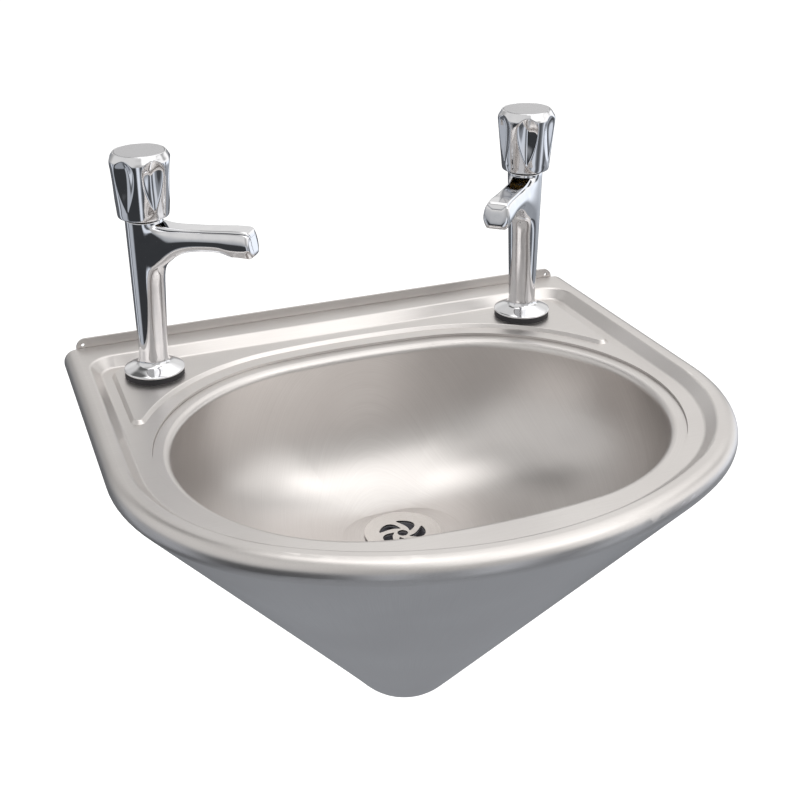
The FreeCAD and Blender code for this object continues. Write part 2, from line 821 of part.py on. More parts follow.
def make_waste():
    tail = size["waste_tail_radius"]
    flange_foot = size["waste_top_seal_thickness"]
    flange_top = flange_foot + size["waste_flange_rim"]
    grid_top = flange_top - size["waste_dish"]
    grid_foot = grid_top - size["waste_grid_thickness"]
    fitting = new_body("waste_fitting")
    section = new_sketch(fitting, "section", "XZ_Plane")
    add_loop(section, [
        (ZERO, grid_top),
        (ZERO, grid_foot),
        (size["waste_bore_radius"], grid_foot),
        (size["waste_bore_radius"], flange_foot - size["waste_tail_length"]),
        (size["waste_outlet_radius"], flange_foot - size["waste_tail_length"]),
        (size["waste_outlet_radius"], flange_foot - size["waste_thread_length"]),
        (tail, flange_foot - size["waste_thread_length"]),
        (tail, flange_foot),
        (size["waste_flange_radius"], flange_foot),
        (size["waste_flange_radius"], flange_top),
        (size["waste_dish_radius"], flange_top),
    ])
    turned(fitting, "turning", section)
    centre = new_sketch(fitting, "centre_hole", height=grid_top + overrun)
    add_circle(centre, ZERO, ZERO, size["waste_centre_hole_radius"])
    pocket(fitting, "centre_drilling", centre, overrun * 2 + size["waste_grid_thickness"])
    slot = new_sketch(fitting, "slot", height=grid_top + overrun)
    start = size["slot_start_angle"]
    turn = start + size["slot_turn_angle"]
    outer = size["slot_outer_radius"]
    bow = Arc(size["slot_bow"])
    add_loop(slot, [
        (size["slot_inner_radius"] * cosine(start), size["slot_inner_radius"] * sine(start), bow),
        (outer * cosine(start), outer * sine(start), Arc(size["slot_end_radius"])),
        (outer * cosine(turn), outer * sine(turn), Arc(size["slot_bow"], -1)),
    ])
    swirl = pocket(fitting, "slot_cut", slot, overrun * 2 + size["waste_grid_thickness"])
    ring_pattern(fitting, "slots", swirl, size["waste_slot_count"])

    bore = tail + size["waste_seal_gap"]
    outside = -size["bowl_sheet"]
    seal_foot = outside - size["waste_bottom_seal_thickness"]
    upper = ring_piece("waste_top_seal", bore, size["waste_top_seal_radius"], ZERO, flange_foot)
    thickness = size["waste_bottom_seal_thickness"]
    lower = ring_piece("waste_bottom_seal", bore, size["waste_bottom_seal_radius"], seal_foot, thickness)
    thread = tail + size["waste_nut_gap"]
    nut = hex_nut("waste_back_nut", size["waste_nut_flats"], thread, seal_foot, size["waste_nut_height"])
    return [place_at_waste(body) for body in (fitting, upper, lower, nut)]


def hex_nut(name, flats, bore, top, height):
    nut = new_body(name)
    outline = new_sketch(nut, "outline", height=top)
    add_loop(outline, hexagon(flats))
    add_circle(outline, ZERO, ZERO, bore)
    pad(nut, "blank", outline, height, downwards=True)
    return nut


# Everything of a tap is drawn about its own axis, from the top of the ledge that it stands on.

column_top = size["column_height"]
seat_level = column_top - size["seat_depth"]
seal_top = column_top + size["headwork_seal_thickness"]
hex_top = seal_top + size["headwork_hex_height"]
neck_top = hex_top + size["headwork_neck_height"]
spout_top = column_top - size["spout_top_drop"]
spout_foot = spout_top - size["spout_thickness"]
waterway_level = (spout_top + spout_foot) / 2
nose_centre = size["spout_reach"] - size["spout_nose_length"] / 2
handle_foot = column_top + size["handle_gap"]
handle_top = handle_foot + size["handle_height"]
hub_foot = handle_foot + size["handle_cavity_height"]
drive_top = hub_foot + size["spindle_drive_height"]
index_foot = handle_top - size["index_thickness"]
washer_foot = seat_level + size["rest_gap"]
plunger_foot = washer_foot + size["valve_washer_thickness"]
collar_top = seal_top
collar_foot = collar_top - size["spindle_collar_height"]
spindle_foot = collar_foot - size["spindle_thread_length"]
chamber_foot = seat_level - size["seat_lip_height"]
screw_seat = drive_top + size["screw_length"] - size["spindle_screw_depth"] + size["rest_gap"]
seal_ring_radius = size["spindle_radius"] + size["running_gap"] + size["seal_section_radius"]


def make_tap_body(name):
    body = new_body(name)
    gasket = size["gasket_thickness"]
    shoulder = gasket + size["flange_crown"]
    profile = new_sketch(body, "profile", "XZ_Plane")
    add_loop(profile, [
        (ZERO, -size["tail_drop"]),
        (size["tail_end_radius"], -size["tail_drop"]),
        (size["tail_end_radius"], -size["tail_thread"]),
        (size["tail_radius"], -size["tail_thread"]),
        (size["tail_radius"], gasket),
        (size["flange_radius"], gasket),
        (size["flange_radius"], gasket + size["flange_rim"], Arc(size["flange_dome"])),
        (size["flange_shoulder_radius"], shoulder, Arc(size["neck_hollow"], -1)),
        (size["neck_radius"], size["neck_level"]),
        (size["column_top_radius"], column_top),
        (ZERO, column_top),
    ])
    turned(body, "turning", profile)

    throat = size["spout_throat"]
    reach = size["spout_reach"]
    nose_back = reach - size["spout_nose_length"]
    nose_foot = spout_foot - size["spout_nose_drop"]
    side = new_sketch(body, "spout_side", "XZ_Plane")
    wall = size["neck_radius"]
    add_loop(side, [
        (ZERO, spout_foot - throat),
        (wall, spout_foot - throat, Arc(throat, -1)),
        (wall + throat, spout_foot),
        (nose_back - size["spout_nose_drop"], spout_foot),
        (nose_back, nose_foot),
        (reach, nose_foot),
        (reach - size["spout_nose_slant"], spout_top),
        (ZERO, spout_top),
    ])
    pad(body, "spout", side, size["spout_width"], midplane=True)
    round_edges(body, "nose", size["spout_nose_round"], is_nose_corner)
    round_edges(body, "spout_under", size["spout_edge_round"], is_spout_under)
    round_edges(body, "spout_over", size["spout_top_round"], is_spout_over)

    bore = new_sketch(body, "bore", "XZ_Plane")
    lip = size["seat_radius"] + size["seat_lip"]
    land = chamber_foot - size["seat_land"]
    add_loop(bore, [
        (ZERO, -size["tail_drop"] - overrun),
        (size["tail_bore_radius"], -size["tail_drop"] - overrun),
        (size["tail_bore_radius"], land),
        (size["seat_radius"], land),
        (size["seat_radius"], seat_level),
        (lip, seat_level),
        (lip, chamber_foot),
        (size["chamber_radius"], chamber_foot),
        (size["chamber_radius"], column_top + overrun),
        (ZERO, column_top + overrun),
    ])
    turned(body, "boring", bore, "Groove")

    rise = waterway_level - column_top + size["waterway_drop"]
    slope = size["waterway_angle"]
    climb = rise / sine(slope)
    bend = size["waterway_start"] + rise * cosine(slope) / sine(slope)
    entry = column_top - size["waterway_drop"]
    slanted_bore(body, "throat_way", size["waterway_start"], entry, slope, climb)
    slanted_bore(body, "spout_way", bend, waterway_level, ZERO, nose_centre - bend)
    outlet = new_sketch(body, "outlet", height=nose_foot - overrun)
    add_circle(outlet, nose_centre, ZERO, size["outlet_radius"])
    pocket(body, "outlet_bore", outlet, waterway_level - nose_foot + overrun, upwards=True)
    return body


def slanted_bore(body, name, across, level, angle, length):
    """A round passage that leaves the point at the given angle above the horizontal."""
    sketch = new_sketch(body, name, "XZ_Plane")
    sketch.setExpression("AttachmentOffset.Base.x", across.formula)
    sketch.setExpression("AttachmentOffset.Base.y", level.formula)
    clockwise = FreeCAD.Rotation(FreeCAD.Vector(0, 0, -1), 1.0)
    sketch.AttachmentOffset = FreeCAD.Placement(FreeCAD.Vector(), clockwise)
    sketch.setExpression("AttachmentOffset.Rotation.Angle", (as_size(90) - angle).formula)
    add_loop(sketch, rectangle(ZERO, ZERO, size["waterway_radius"], length))
    turned(body, name + "_bore", sketch, "Groove")


def on_spout(edge):
    return edge.BoundBox.XMin > size["column_top_radius"].value


def is_nose_corner(edge):
    """True for the two edges that rise from the nose's foot to its top."""
    box = edge.BoundBox
    ends = abs(box.XMax - size["spout_reach"].value) < size["rest_gap"].value
    return ends and box.YLength < size["rest_gap"].value and box.ZLength > size["spout_thickness"].value


def is_spout_under(edge):
    box = edge.BoundBox
    margin = size["rest_gap"].value
    low = box.ZMax < spout_foot.value + margin and box.ZMin > (spout_foot - size["spout_throat"]).value
    beside = abs(abs(edge.CenterOfMass.y) - size["spout_width"].value / 2) < margin
    return low and beside and box.XMin > size["column_top_radius"].value and box.YLength < margin


def is_spout_over(edge):
    return flat_at(edge, spout_top) and on_spout(edge)


def make_nozzle(name):
    nozzle = new_body(name)
    foot = spout_foot - size["spout_nose_drop"] + size["outlet_recess"]
    disc = new_sketch(nozzle, "disc", height=foot)
    add_circle(disc, ZERO, ZERO, size["outlet_radius"])
    pad(nozzle, "blank", disc, size["nozzle_height"])
    hole = new_sketch(nozzle, "hole", height=foot)
    add_circle(hole, size["nozzle_hole_circle"], ZERO, size["nozzle_hole_radius"])
    drilled = pocket(nozzle, "drilling", hole, size["nozzle_height"], upwards=True)
    ring_pattern(nozzle, "holes", drilled, size["nozzle_hole_count"])
    return nozzle


def make_headwork(name):
    body = new_body(name)
    skirt = size["chamber_radius"] - size["running_gap"]
    foot = column_top - size["headwork_skirt"]
    profile = new_sketch(body, "profile", "XZ_Plane")
    add_loop(profile, rectangle(ZERO, foot, skirt, seal_top))
    turned(body, "skirt", profile)
    hexagonal = new_sketch(body, "hexagonal", height=seal_top)
    add_loop(hexagonal, hexagon(size["headwork_flats"]))
    pad(body, "spanner_hex", hexagonal, size["headwork_hex_height"])
    neck = new_sketch(body, "neck", height=hex_top)
    add_circle(neck, ZERO, ZERO, size["headwork_neck_radius"])
    pad(body, "neck_pad", neck, size["headwork_neck_height"])
    guide = new_sketch(body, "guide", height=foot)
    add_loop(guide, hexagon(size["plunger_flats"] + size["plunger_gap"] * 2))
    pocket(body, "guide_cut", guide, collar_top + size["rest_gap"] - foot, upwards=True)
    bore = new_sketch(body, "bore", "XZ_Plane")
    groove_foot = hex_top + size["seal_groove_level"]
    groove_top = groove_foot + size["seal_groove_height"]
    stem = size["spindle_radius"] + size["running_gap"]
    groove = seal_ring_radius + size["seal_section_radius"]
    add_loop(bore, [
        (ZERO, seal_top),
        (stem, seal_top),
        (stem, groove_foot),
        (groove, groove_foot),
        (groove, groove_top),
        (stem, groove_top),
        (stem, neck_top + overrun),
        (ZERO, neck_top + overrun),
    ])
    turned(body, "boring", bore, "Groove")
    return body


def make_spindle_seal(name):
    body = new_body(name)
    section = new_sketch(body, "section", "XZ_Plane")
    level = hex_top + size["seal_groove_level"] + size["seal_groove_height"] / 2
    add_circle(section, seal_ring_radius, level, size["seal_section_radius"])
    turned(body, "ring", section)
    return body


def make_spindle(name):
    body = new_body(name)
    profile = new_sketch(body, "profile", "XZ_Plane")
    add_loop(profile, [
        (ZERO, spindle_foot),
        (size["spindle_thread_radius"], spindle_foot),
        (size["spindle_thread_radius"], collar_foot),
        (size["spindle_collar_radius"], collar_foot),
        (size["spindle_collar_radius"], collar_top),
        (size["spindle_radius"], collar_top),
        (size["spindle_radius"], hub_foot),
        (ZERO, hub_foot),
    ])
    turned(body, "turning", profile)
    drive = new_sketch(body, "drive", height=hub_foot)
    add_loop(drive, hexagon(size["spindle_drive_flats"]))
    pad(body, "drive_hex", drive, drive_top - hub_foot)
    tapping = new_sketch(body, "tapping", height=drive_top)
    add_circle(tapping, ZERO, ZERO, size["screw_radius"] + size["screw_gap"])
    pocket(body, "screw_bore", tapping, size["spindle_screw_depth"])
    return body


def make_plunger(name):
    body = new_body(name)
    outline = new_sketch(body, "outline", height=plunger_foot)
    add_loop(outline, hexagon(size["plunger_flats"]))
    pad(body, "nut", outline, size["plunger_length"])
    bore = new_sketch(body, "bore", height=plunger_foot + size["plunger_length"])
    add_circle(bore, ZERO, ZERO, size["spindle_thread_radius"] + size["running_gap"])
    pocket(body, "thread_bore", bore, size["plunger_length"] - size["plunger_floor"])
    spigot = new_sketch(body, "spigot", height=plunger_foot)
    add_circle(spigot, ZERO, ZERO, size["plunger_spigot_radius"])
    pad(body, "spigot_pad", spigot, size["plunger_spigot_length"], downwards=True)
    return body


def make_handle(name):
    body = new_body(name)
    crown = handle_foot + size["handle_crown_level"]
    profile = new_sketch(body, "profile", "XZ_Plane")
    cavity = size["handle_cavity_radius"]
    add_loop(profile, [
        (cavity, handle_foot),
        (size["handle_foot_radius"], handle_foot),
        (size["handle_crown_radius"], crown, Arc(size["handle_shoulder"] * 2)),
        (size["handle_top_radius"], handle_top),
        (ZERO, handle_top),
        (ZERO, hub_foot),
        (cavity, hub_foot),
    ])
    turned(body, "turning", profile)

    flute = new_sketch(body, "flute", "XZ_Plane")
    axis = size["flute_bottom_radius"] + size["flute_tool_radius"]
    flute.setExpression("AttachmentOffset.Base.x", axis.formula)
    level = handle_foot + size["flute_tool_level"]
    foot = handle_foot - overrun
    add_loop(flute, [
        (ZERO, foot),
        (size["flute_tool_radius"], foot),
        (size["flute_tool_radius"], level, Arc(size["flute_tool_radius"])),
        (ZERO, level + size["flute_tool_radius"]),
    ])
    cut = turned(body, "flute_cut", flute, "Groove")
    ring_pattern(body, "flutes", cut, size["handle_flute_count"])

    hub = new_sketch(body, "hub", height=hub_foot)
    add_loop(hub, hexagon(size["spindle_drive_flats"] + size["drive_gap"] * 2))
    pocket(body, "drive_socket", hub, drive_top - hub_foot + size["rest_gap"], upwards=True)
    recess = new_sketch(body, "recess", "XZ_Plane")
    add_loop(recess, [
        (ZERO, drive_top),
        (size["screw_radius"] + size["screw_gap"], drive_top),
        (size["screw_radius"] + size["screw_gap"], screw_seat),
        (size["screw_head_radius"] + size["screw_head_gap"], screw_seat),
        (size["screw_head_radius"] + size["screw_head_gap"], index_foot),
        (size["index_radius"] + size["running_gap"], index_foot),
        (size["index_radius"] + size["running_gap"], handle_top + overrun),
        (ZERO, handle_top + overrun),
    ])
    turned(body, "top_recess", recess, "Groove")
    return body


def make_handle_screw(name):
    body = new_body(name)
    head_top = screw_seat + size["screw_head_height"]
    profile = new_sketch(body, "profile", "XZ_Plane")
    add_loop(profile, [
        (ZERO, screw_seat - size["screw_length"]),
        (size["screw_radius"], screw_seat - size["screw_length"]),
        (size["screw_radius"], screw_seat),
        (size["screw_head_radius"], screw_seat),
        (size["screw_head_radius"], head_top),
        (ZERO, head_top),
    ])
    turned(body, "turning", profile)
    socket = new_sketch(body, "socket", height=head_top)
    add_loop(socket, hexagon(size["screw_socket_flats"]))
    pocket(body, "key_socket", socket, size["screw_socket_depth"])
    return body


def make_index_disc(name):
    body = new_body(name)
    profile = new_sketch(body, "profile", "XZ_Plane")
    edge = size["index_edge"]
    add_loop(profile, [
        (ZERO, index_foot),
        (size["index_radius"], index_foot),
        (size["index_radius"], handle_top - edge),
        (size["index_radius"] - edge, handle_top),
        (ZERO, handle_top),
    ])
    turned(body, "disc", profile)
    return body


def make_tap(side, across, spout_angle, handle_angle):
    """All pieces of one tap on its ledge, the spout and the handle each turned to its angle."""
    deck_foot = -size["deck_sheet"]
    washer_foot_level = deck_foot - size["fixing_washer_thickness"]
    seal_bore = size["chamber_radius"] + size["headwork_seal_gap"]
    tail = size["tail_radius"]
    straight = [
        ring_piece(
            side + "_base_gasket", tail + size["gasket_bore_gap"], size["gasket_radius"], ZERO,
            size["gasket_thickness"]),
        ring_piece(
            side + "_fixing_washer", tail + size["fixing_washer_gap"], size["fixing_washer_radius"],
            washer_foot_level, size["fixing_washer_thickness"]),
        hex_nut(
            side + "_back_nut", size["back_nut_flats"], tail + size["back_nut_gap"], washer_foot_level,
            size["back_nut_height"]),
        make_headwork(side + "_headwork"),
        ring_piece(
            side + "_headwork_seal", seal_bore, size["headwork_seal_radius"], column_top,
            size["headwork_seal_thickness"]),
        make_spindle_seal(side + "_spindle_seal"),
        make_plunger(side + "_valve_plunger"),
        ring_piece(
            side + "_valve_washer", size["plunger_spigot_radius"], size["valve_washer_radius"], washer_foot,
            size["valve_washer_thickness"]),
    ]
    turning = [
        make_spindle(side + "_spindle"),
        make_handle(side + "_handle"),
        make_handle_screw(side + "_handle_screw"),
        make_index_disc(side + "_index_disc"),
    ]
    along = -size["tap_from_wall"]
    level = -size["ledge_drop"]
    for body in straight:
        put(body, across, along, level)
    for body in turning:
        put(body, across, along, level, handle_angle)
    tap_body = make_tap_body(side + "_tap_body")
    put(tap_body, across, along, level, spout_angle)
    nozzle = make_nozzle(side + "_nozzle")
    nose_x = across + nose_centre * cosine(spout_angle)
    nose_y = along + nose_centre * sine(spout_angle)
    put(nozzle, nose_x, nose_y, level, spout_angle)
    return straight + turning + [tap_body, nozzle]


pieces = [make_rim_deck(), make_bowl(), make_apron(), make_wall_plate()]
pieces += make_waste()
pieces += make_tap("left", -left_tap_from_middle, size["left_spout_angle"], size["left_handle_angle"])
pieces += make_tap("right", right_tap_from_middle, size["right_spout_angle"], size["right_handle_angle"])
doc.recompute()

failed = [item.Name for item in doc.Objects if "Invalid" in item.State or "Error" in item.State]
sketches = [item for item in doc.Objects if item.TypeId == "Sketcher::SketchObject"]
loose = [sketch.Name for sketch in sketches if not sketch.FullyConstrained]
failed += [item.Label for item in pieces if item.Shape.isNull() or not item.Shape.isValid()]
failed += [item.Label for item in pieces if len(item.Shape.Solids) != 1]
if failed:
    raise RuntimeError("These did not build: " + ", ".join(failed))
if loose:
    print("sketches with freedom left:", ", ".join(loose))

os.makedirs("parts", exist_ok=True)
for piece in pieces:
    piece.Shape.exportStep("parts/%s.step" % piece.Label)
print("wrote %d pieces" % len(pieces))
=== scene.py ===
"""Wall-hung hand basin of satin stainless steel with two chromed pillar taps, dressed for the render."""

import logging
import math
from dataclasses import dataclass, field
from enum import Enum
from typing import Any, Callable, Iterable, Optional, Sequence

import bmesh
import bpy
from mathutils import Matrix, Vector


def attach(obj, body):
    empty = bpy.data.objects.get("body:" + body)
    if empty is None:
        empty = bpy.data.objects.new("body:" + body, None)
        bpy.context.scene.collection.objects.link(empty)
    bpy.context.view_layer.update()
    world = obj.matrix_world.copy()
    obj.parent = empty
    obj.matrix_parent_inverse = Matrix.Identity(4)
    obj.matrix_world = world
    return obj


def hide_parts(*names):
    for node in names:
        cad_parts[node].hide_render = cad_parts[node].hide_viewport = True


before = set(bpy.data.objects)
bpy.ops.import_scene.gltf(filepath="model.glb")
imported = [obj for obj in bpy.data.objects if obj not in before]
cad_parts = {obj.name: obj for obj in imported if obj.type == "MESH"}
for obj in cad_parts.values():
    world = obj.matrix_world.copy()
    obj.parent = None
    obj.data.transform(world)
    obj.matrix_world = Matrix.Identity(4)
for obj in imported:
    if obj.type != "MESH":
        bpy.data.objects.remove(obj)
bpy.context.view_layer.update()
LOG = logging.getLogger("hand_basin")
MM = 0.001
# Distance in millimetres within which a point of a cage counts as lying at a place.
NEAR = 0.01


class Grain(Enum):
    """How the polishing lines of a metal run."""

    ALONG_X = "along the wall"
    ROUND_Z = "round the upright axis"
    DOWN_SLOPE = "down the slope"


def linear(hex_colour: str) -> tuple[float, float, float, float]:
    """Turns an sRGB hex colour to linear red, green and blue.

    Args:
        hex_colour: Six hex digits, red first.

    Returns:
        The linear colour with an alpha of 1.
    """
    parts = [int(hex_colour[start:start + 2], 16) / 255 for start in (0, 2, 4)]
    red, green, blue = (c / 12.92 if c <= 0.04045 else ((c + 0.055) / 1.055) ** 2.4 for c in parts)
    return red, green, blue, 1.0


class NodeSheet:
    """The node tree of one material or world, with methods that add nodes to it."""

    def __init__(self, tree: bpy.types.NodeTree) -> None:
        """Empties the tree.

        Args:
            tree: The node tree to fill.
        """
        self.tree = tree
        self.tree.nodes.clear()

    def add(self, kind: str, inputs: Optional[dict[Any, Any]] = None, **settings: Any) -> bpy.types.Node:
        """Adds a node with its settings and links.

        Args:
            kind: The node's type name.
            inputs: Value or output socket for each input, by name or number.
            **settings: Properties of the node.

        Returns:
            The new node.
        """
        node = self.tree.nodes.new(kind)
        for name, value in settings.items():
            setattr(node, name, value)
        for key, value in (inputs or {}).items():
            if isinstance(value, bpy.types.NodeSocket):
                self.tree.links.new(value, node.inputs[key])
            else:
                node.inputs[key].default_value = value
        return node

    def ramp(self, factor: bpy.types.NodeSocket,
             stops: Sequence[tuple[float, tuple]]) -> bpy.types.NodeSocket:
        """Adds a colour ramp.

        Args:
            factor: The value that is looked up.
            stops: Position and colour of each stop.

        Returns:
            The ramp's colour.
        """
        node = self.add("ShaderNodeValToRGB", {"Fac": factor})
        while len(node.color_ramp.elements) < len(stops):
            node.color_ramp.elements.new(1.0)
        for element, (position, colour) in zip(node.color_ramp.elements, stops):
            element.position = position
            element.color = colour
        return node.outputs["Color"]

    def noise(self, place: bpy.types.NodeSocket, scale: float, detail: float,
              fineness: float = 0.5) -> bpy.types.NodeSocket:
        """Adds noise.

        Args:
            place: The coordinates.
            scale: Features of the noise in one unit of length.
            detail: Number of finer layers.
            fineness: Weight of the finer layers.

        Returns:
            The noise, from 0 to 1.
        """
        inputs = {"Vector": place, "Scale": scale, "Detail": detail, "Roughness": fineness}
        return self.add("ShaderNodeTexNoise", inputs).outputs["Fac"]

    def remap(self, value: bpy.types.NodeSocket, old: Sequence[float],
              new: Sequence[float] = (0.0, 1.0), **settings: Any) -> bpy.types.NodeSocket:
        """Maps one range to another, without going past its ends.

        Args:
            value: The value.
            old: Ends of the range that is read.
            new: What they become.
            **settings: Properties of the node.

        Returns:
            The mapped value.
        """
        inputs = {"Value": value, "From Min": old[0], "From Max": old[1], "To Min": new[0], "To Max": new[1]}
        return self.add("ShaderNodeMapRange", inputs, **settings).outputs["Result"]

    def calculate(self, operation: str, first: Any, second: Any = 0.0) -> bpy.types.NodeSocket:
        """Adds a calculation.

        Args:
            operation: Name of the operation.
            first: Value or output socket.
            second: Value or output socket, for operations that take two.

        Returns:
            The result.
        """
        return self.add("ShaderNodeMath", {0: first, 1: second}, operation=operation).outputs[0]

    def surface(self, relief: tuple[bpy.types.NodeSocket, float, float], inputs: dict[str, Any]) -> None:
        """Adds the relief, the shader and the material's output.

        Args:
            relief: The relief's height, strength and depth.
            inputs: Value or output socket for the shader's other inputs.
        """
        height, strength, depth = relief
        bump = self.add("ShaderNodeBump", {"Height": height, "Strength": strength, "Distance": depth})
        shader = self.add("ShaderNodeBsdfPrincipled", {**inputs, "Normal": bump.outputs["Normal"]})
        self.add("ShaderNodeOutputMaterial", {"Surface": shader.outputs["BSDF"]})


def new_sheet(name: str) -> tuple[bpy.types.Material, NodeSheet]:
    """Makes an empty node material.

    Args:
        name: Name of the material.

    Returns:
        The material and its sheet of nodes.
    """
    material = bpy.data.materials.new(name)
    material.use_nodes = True
    return material, NodeSheet(material.node_tree)


@dataclass(frozen=True)
class SatinSteel:
    """Stainless steel sheet, drawn and then satin polished with an abrasive belt.

    The polishing leaves fine parallel lines, which blur the reflections and vary them slightly.
    """

    name: str
    colour: str = "d5d2d0"
    shade: str = "cac6c4"
    roughness: float = 0.34
    roughness_spread: float = 0.05
    # A 180 grit belt leaves lines about 0.1 mm apart. They are drawn at 0.5 mm so that they still show.
    line_spacing: float = 0.5 * MM
    line_length: float = 45.0 * MM
    cloud_size: float = 90.0 * MM
    line_depth: float = 0.0012 * MM
    # How much the noise runs on for each radian round the centre: little along rings, much across a slope.
    ring_run: float = 1.6
    slope_run: float = 260.0
    grain: Grain = Grain.ALONG_X
    centre: tuple[float, float, float] = (0.0, 0.0, 0.0)
    # Height below which the metal is painted dark grey and loses its shine: painted shade in the shaded bore
    # of a drain.
    painted_shade_level: Optional[float] = None
    painted_shade_colour: str = "77767c"

    def grain_vector(self, sheet: NodeSheet) -> bpy.types.NodeSocket:
        """Coordinates stretched along the grain.

        Args:
            sheet: The material's nodes.

        Returns:
            The vector that the line noise reads.
        """
        across = 1.0 / self.line_spacing
        along = 1.0 / self.line_length
        place = sheet.add("ShaderNodeTexCoord").outputs["Object"]
        centred = sheet.add("ShaderNodeMapping", {"Vector": place, "Location": [-c for c in self.centre]})
        if self.grain is Grain.ALONG_X:
            scaled = {"Vector": centred.outputs["Vector"], "Scale": (along, across, across)}
            return sheet.add("ShaderNodeMapping", scaled).outputs["Vector"]
        parts = sheet.add("ShaderNodeSeparateXYZ", {"Vector": centred.outputs["Vector"]})
        turn = sheet.calculate("ARCTAN2", parts.outputs["Y"], parts.outputs["X"])
        length = sheet.add("ShaderNodeVectorMath", {0: centred.outputs["Vector"]}, operation="LENGTH")
        around = self.ring_run if self.grain is Grain.ROUND_Z else self.slope_run
        radial = across if self.grain is Grain.ROUND_Z else along
        joined = sheet.add("ShaderNodeCombineXYZ", {
            "X": sheet.calculate("MULTIPLY", turn, around),
            "Y": sheet.calculate("MULTIPLY", length.outputs["Value"], radial)})
        return joined.outputs["Vector"]

    def build(self) -> bpy.types.Material:
        """Makes the material.

        Returns:
            The node material.
        """
        material, sheet = new_sheet(self.name)
        lines = sheet.noise(self.grain_vector(sheet), 1.0, detail=3.0, fineness=0.65)
        place = sheet.add("ShaderNodeTexCoord").outputs["Object"]
        clouds = sheet.noise(place, 1.0 / self.cloud_size, detail=2.0)
        tone = sheet.calculate("MULTIPLY", lines, clouds)
        colour = sheet.ramp(tone, [(0.08, linear(self.shade)), (0.42, linear(self.colour))])
        metallic = 1.0
        # Below the given height the colour turns to a flat dark grey that is not metallic: painted shade in
        # the drain's bore.
        if self.painted_shade_level is not None:
            height = sheet.add("ShaderNodeSeparateXYZ", {"Vector": place}).outputs["Z"]
            metallic = sheet.remap(height, (self.painted_shade_level - MM, self.painted_shade_level))
            colour = sheet.add("ShaderNodeMix", {
                0: metallic, 6: linear(self.painted_shade_colour), 7: colour}, data_type="RGBA").outputs[2]
        half = self.roughness_spread / 2
        rough = sheet.remap(lines, (0.25, 0.75), (self.roughness - half, self.roughness + half))
        sheet.surface((lines, 0.35, self.line_depth), {
            "Base Color": colour, "Roughness": rough, "Metallic": metallic})
        return material


@dataclass(frozen=True)
class PlatedChrome:
    """Chromium plating on polished cast brass: mirror-like, slightly wavy, with faint wiping marks."""

    name: str
    colour: str = "e6e6e8"
    roughness: float = 0.035
    wipe_size: float = 9.0 * MM
    wave_size: float = 14.0 * MM
    wave_depth: float = 0.02 * MM
    wiped: str = "d5d6da"

    def build(self) -> bpy.types.Material:
        """Makes the material.

        Returns:
            The node material.
        """
        material, sheet = new_sheet(self.name)
        place = sheet.add("ShaderNodeTexCoord").outputs["Object"]
        wipes = sheet.noise(place, 1.0 / self.wipe_size, detail=5.0, fineness=0.7)
        rough = sheet.remap(wipes, (0.4, 0.8), (self.roughness, self.roughness * 2.2))
        waves = sheet.noise(place, 1.0 / self.wave_size, detail=0.0)
        colour = sheet.ramp(wipes, [(0.3, linear(self.colour)), (0.9, linear(self.wiped))])
        sheet.surface((waves, 0.4, self.wave_depth), {
            "Base Color": colour, "Roughness": rough, "Metallic": 1.0})
        return material


@dataclass(frozen=True)
class TurnedMetal:
    """Bare or zinc plated metal turned on a lathe: rings round the upright axis and a mottled tone."""

    name: str
    light: str
    dark: str
    roughness: float
    ring_spacing: float = 0.35 * MM
    mottle_size: float = 3.0 * MM
    ring_length: float = 25.0 * MM
    ring_depth: float = 0.02 * MM

    def build(self) -> bpy.types.Material:
        """Makes the material.

        Returns:
            The node material.
        """
        material, sheet = new_sheet(self.name)
        place = sheet.add("ShaderNodeTexCoord").outputs["Object"]
        along = 1.0 / self.ring_length
        stretched = sheet.add("ShaderNodeMapping", {
            "Vector": place, "Scale": (along, along, 1.0 / self.ring_spacing)})
        rings = sheet.noise(stretched.outputs["Vector"], 1.0, detail=2.0)
        mottle = sheet.noise(place, 1.0 / self.mottle_size, detail=4.0)
        colour = sheet.ramp(mottle, [(0.3, linear(self.dark)), (0.7, linear(self.light))])
        rough = sheet.remap(mottle, (0.0, 1.0), (self.roughness * 0.8, self.roughness * 1.2))
        sheet.surface((rings, 0.3, self.ring_depth), {
            "Base Color": colour, "Roughness": rough, "Metallic": 1.0})
        return material


@dataclass(frozen=True)
class MouldedPolymer:
    """Moulded rubber or plastic: fine spark-eroded texture, slight variation of tone."""

    name: str
    light: str
    dark: str
    roughness: float
    texture_size: float = 0.4 * MM
    texture_depth: float = 0.02 * MM
    tone_scale: float = 60.0

    def build(self) -> bpy.types.Material:
        """Makes the material.

        Returns:
            The node material.
        """
        material, sheet = new_sheet(self.name)
        place = sheet.add("ShaderNodeTexCoord").outputs["Object"]
        texture = sheet.noise(place, 1.0 / self.texture_size, detail=2.0)
        tone = sheet.noise(place, self.tone_scale, detail=3.0)
        colour = sheet.ramp(tone, [(0.3, linear(self.dark)), (0.7, linear(self.light))])
        rough = sheet.remap(texture, (0.0, 1.0), (self.roughness * 0.85, self.roughness * 1.15))
        sheet.surface((texture, 0.3, self.texture_depth), {
            "Base Color": colour, "Roughness": rough, "IOR": 1.5})
        return material


WASTE_CENTRE = (0.0, -162.0 * MM, -60.0 * MM)
APRON_TIP = (0.0, -163.5 * MM, -200.0 * MM)

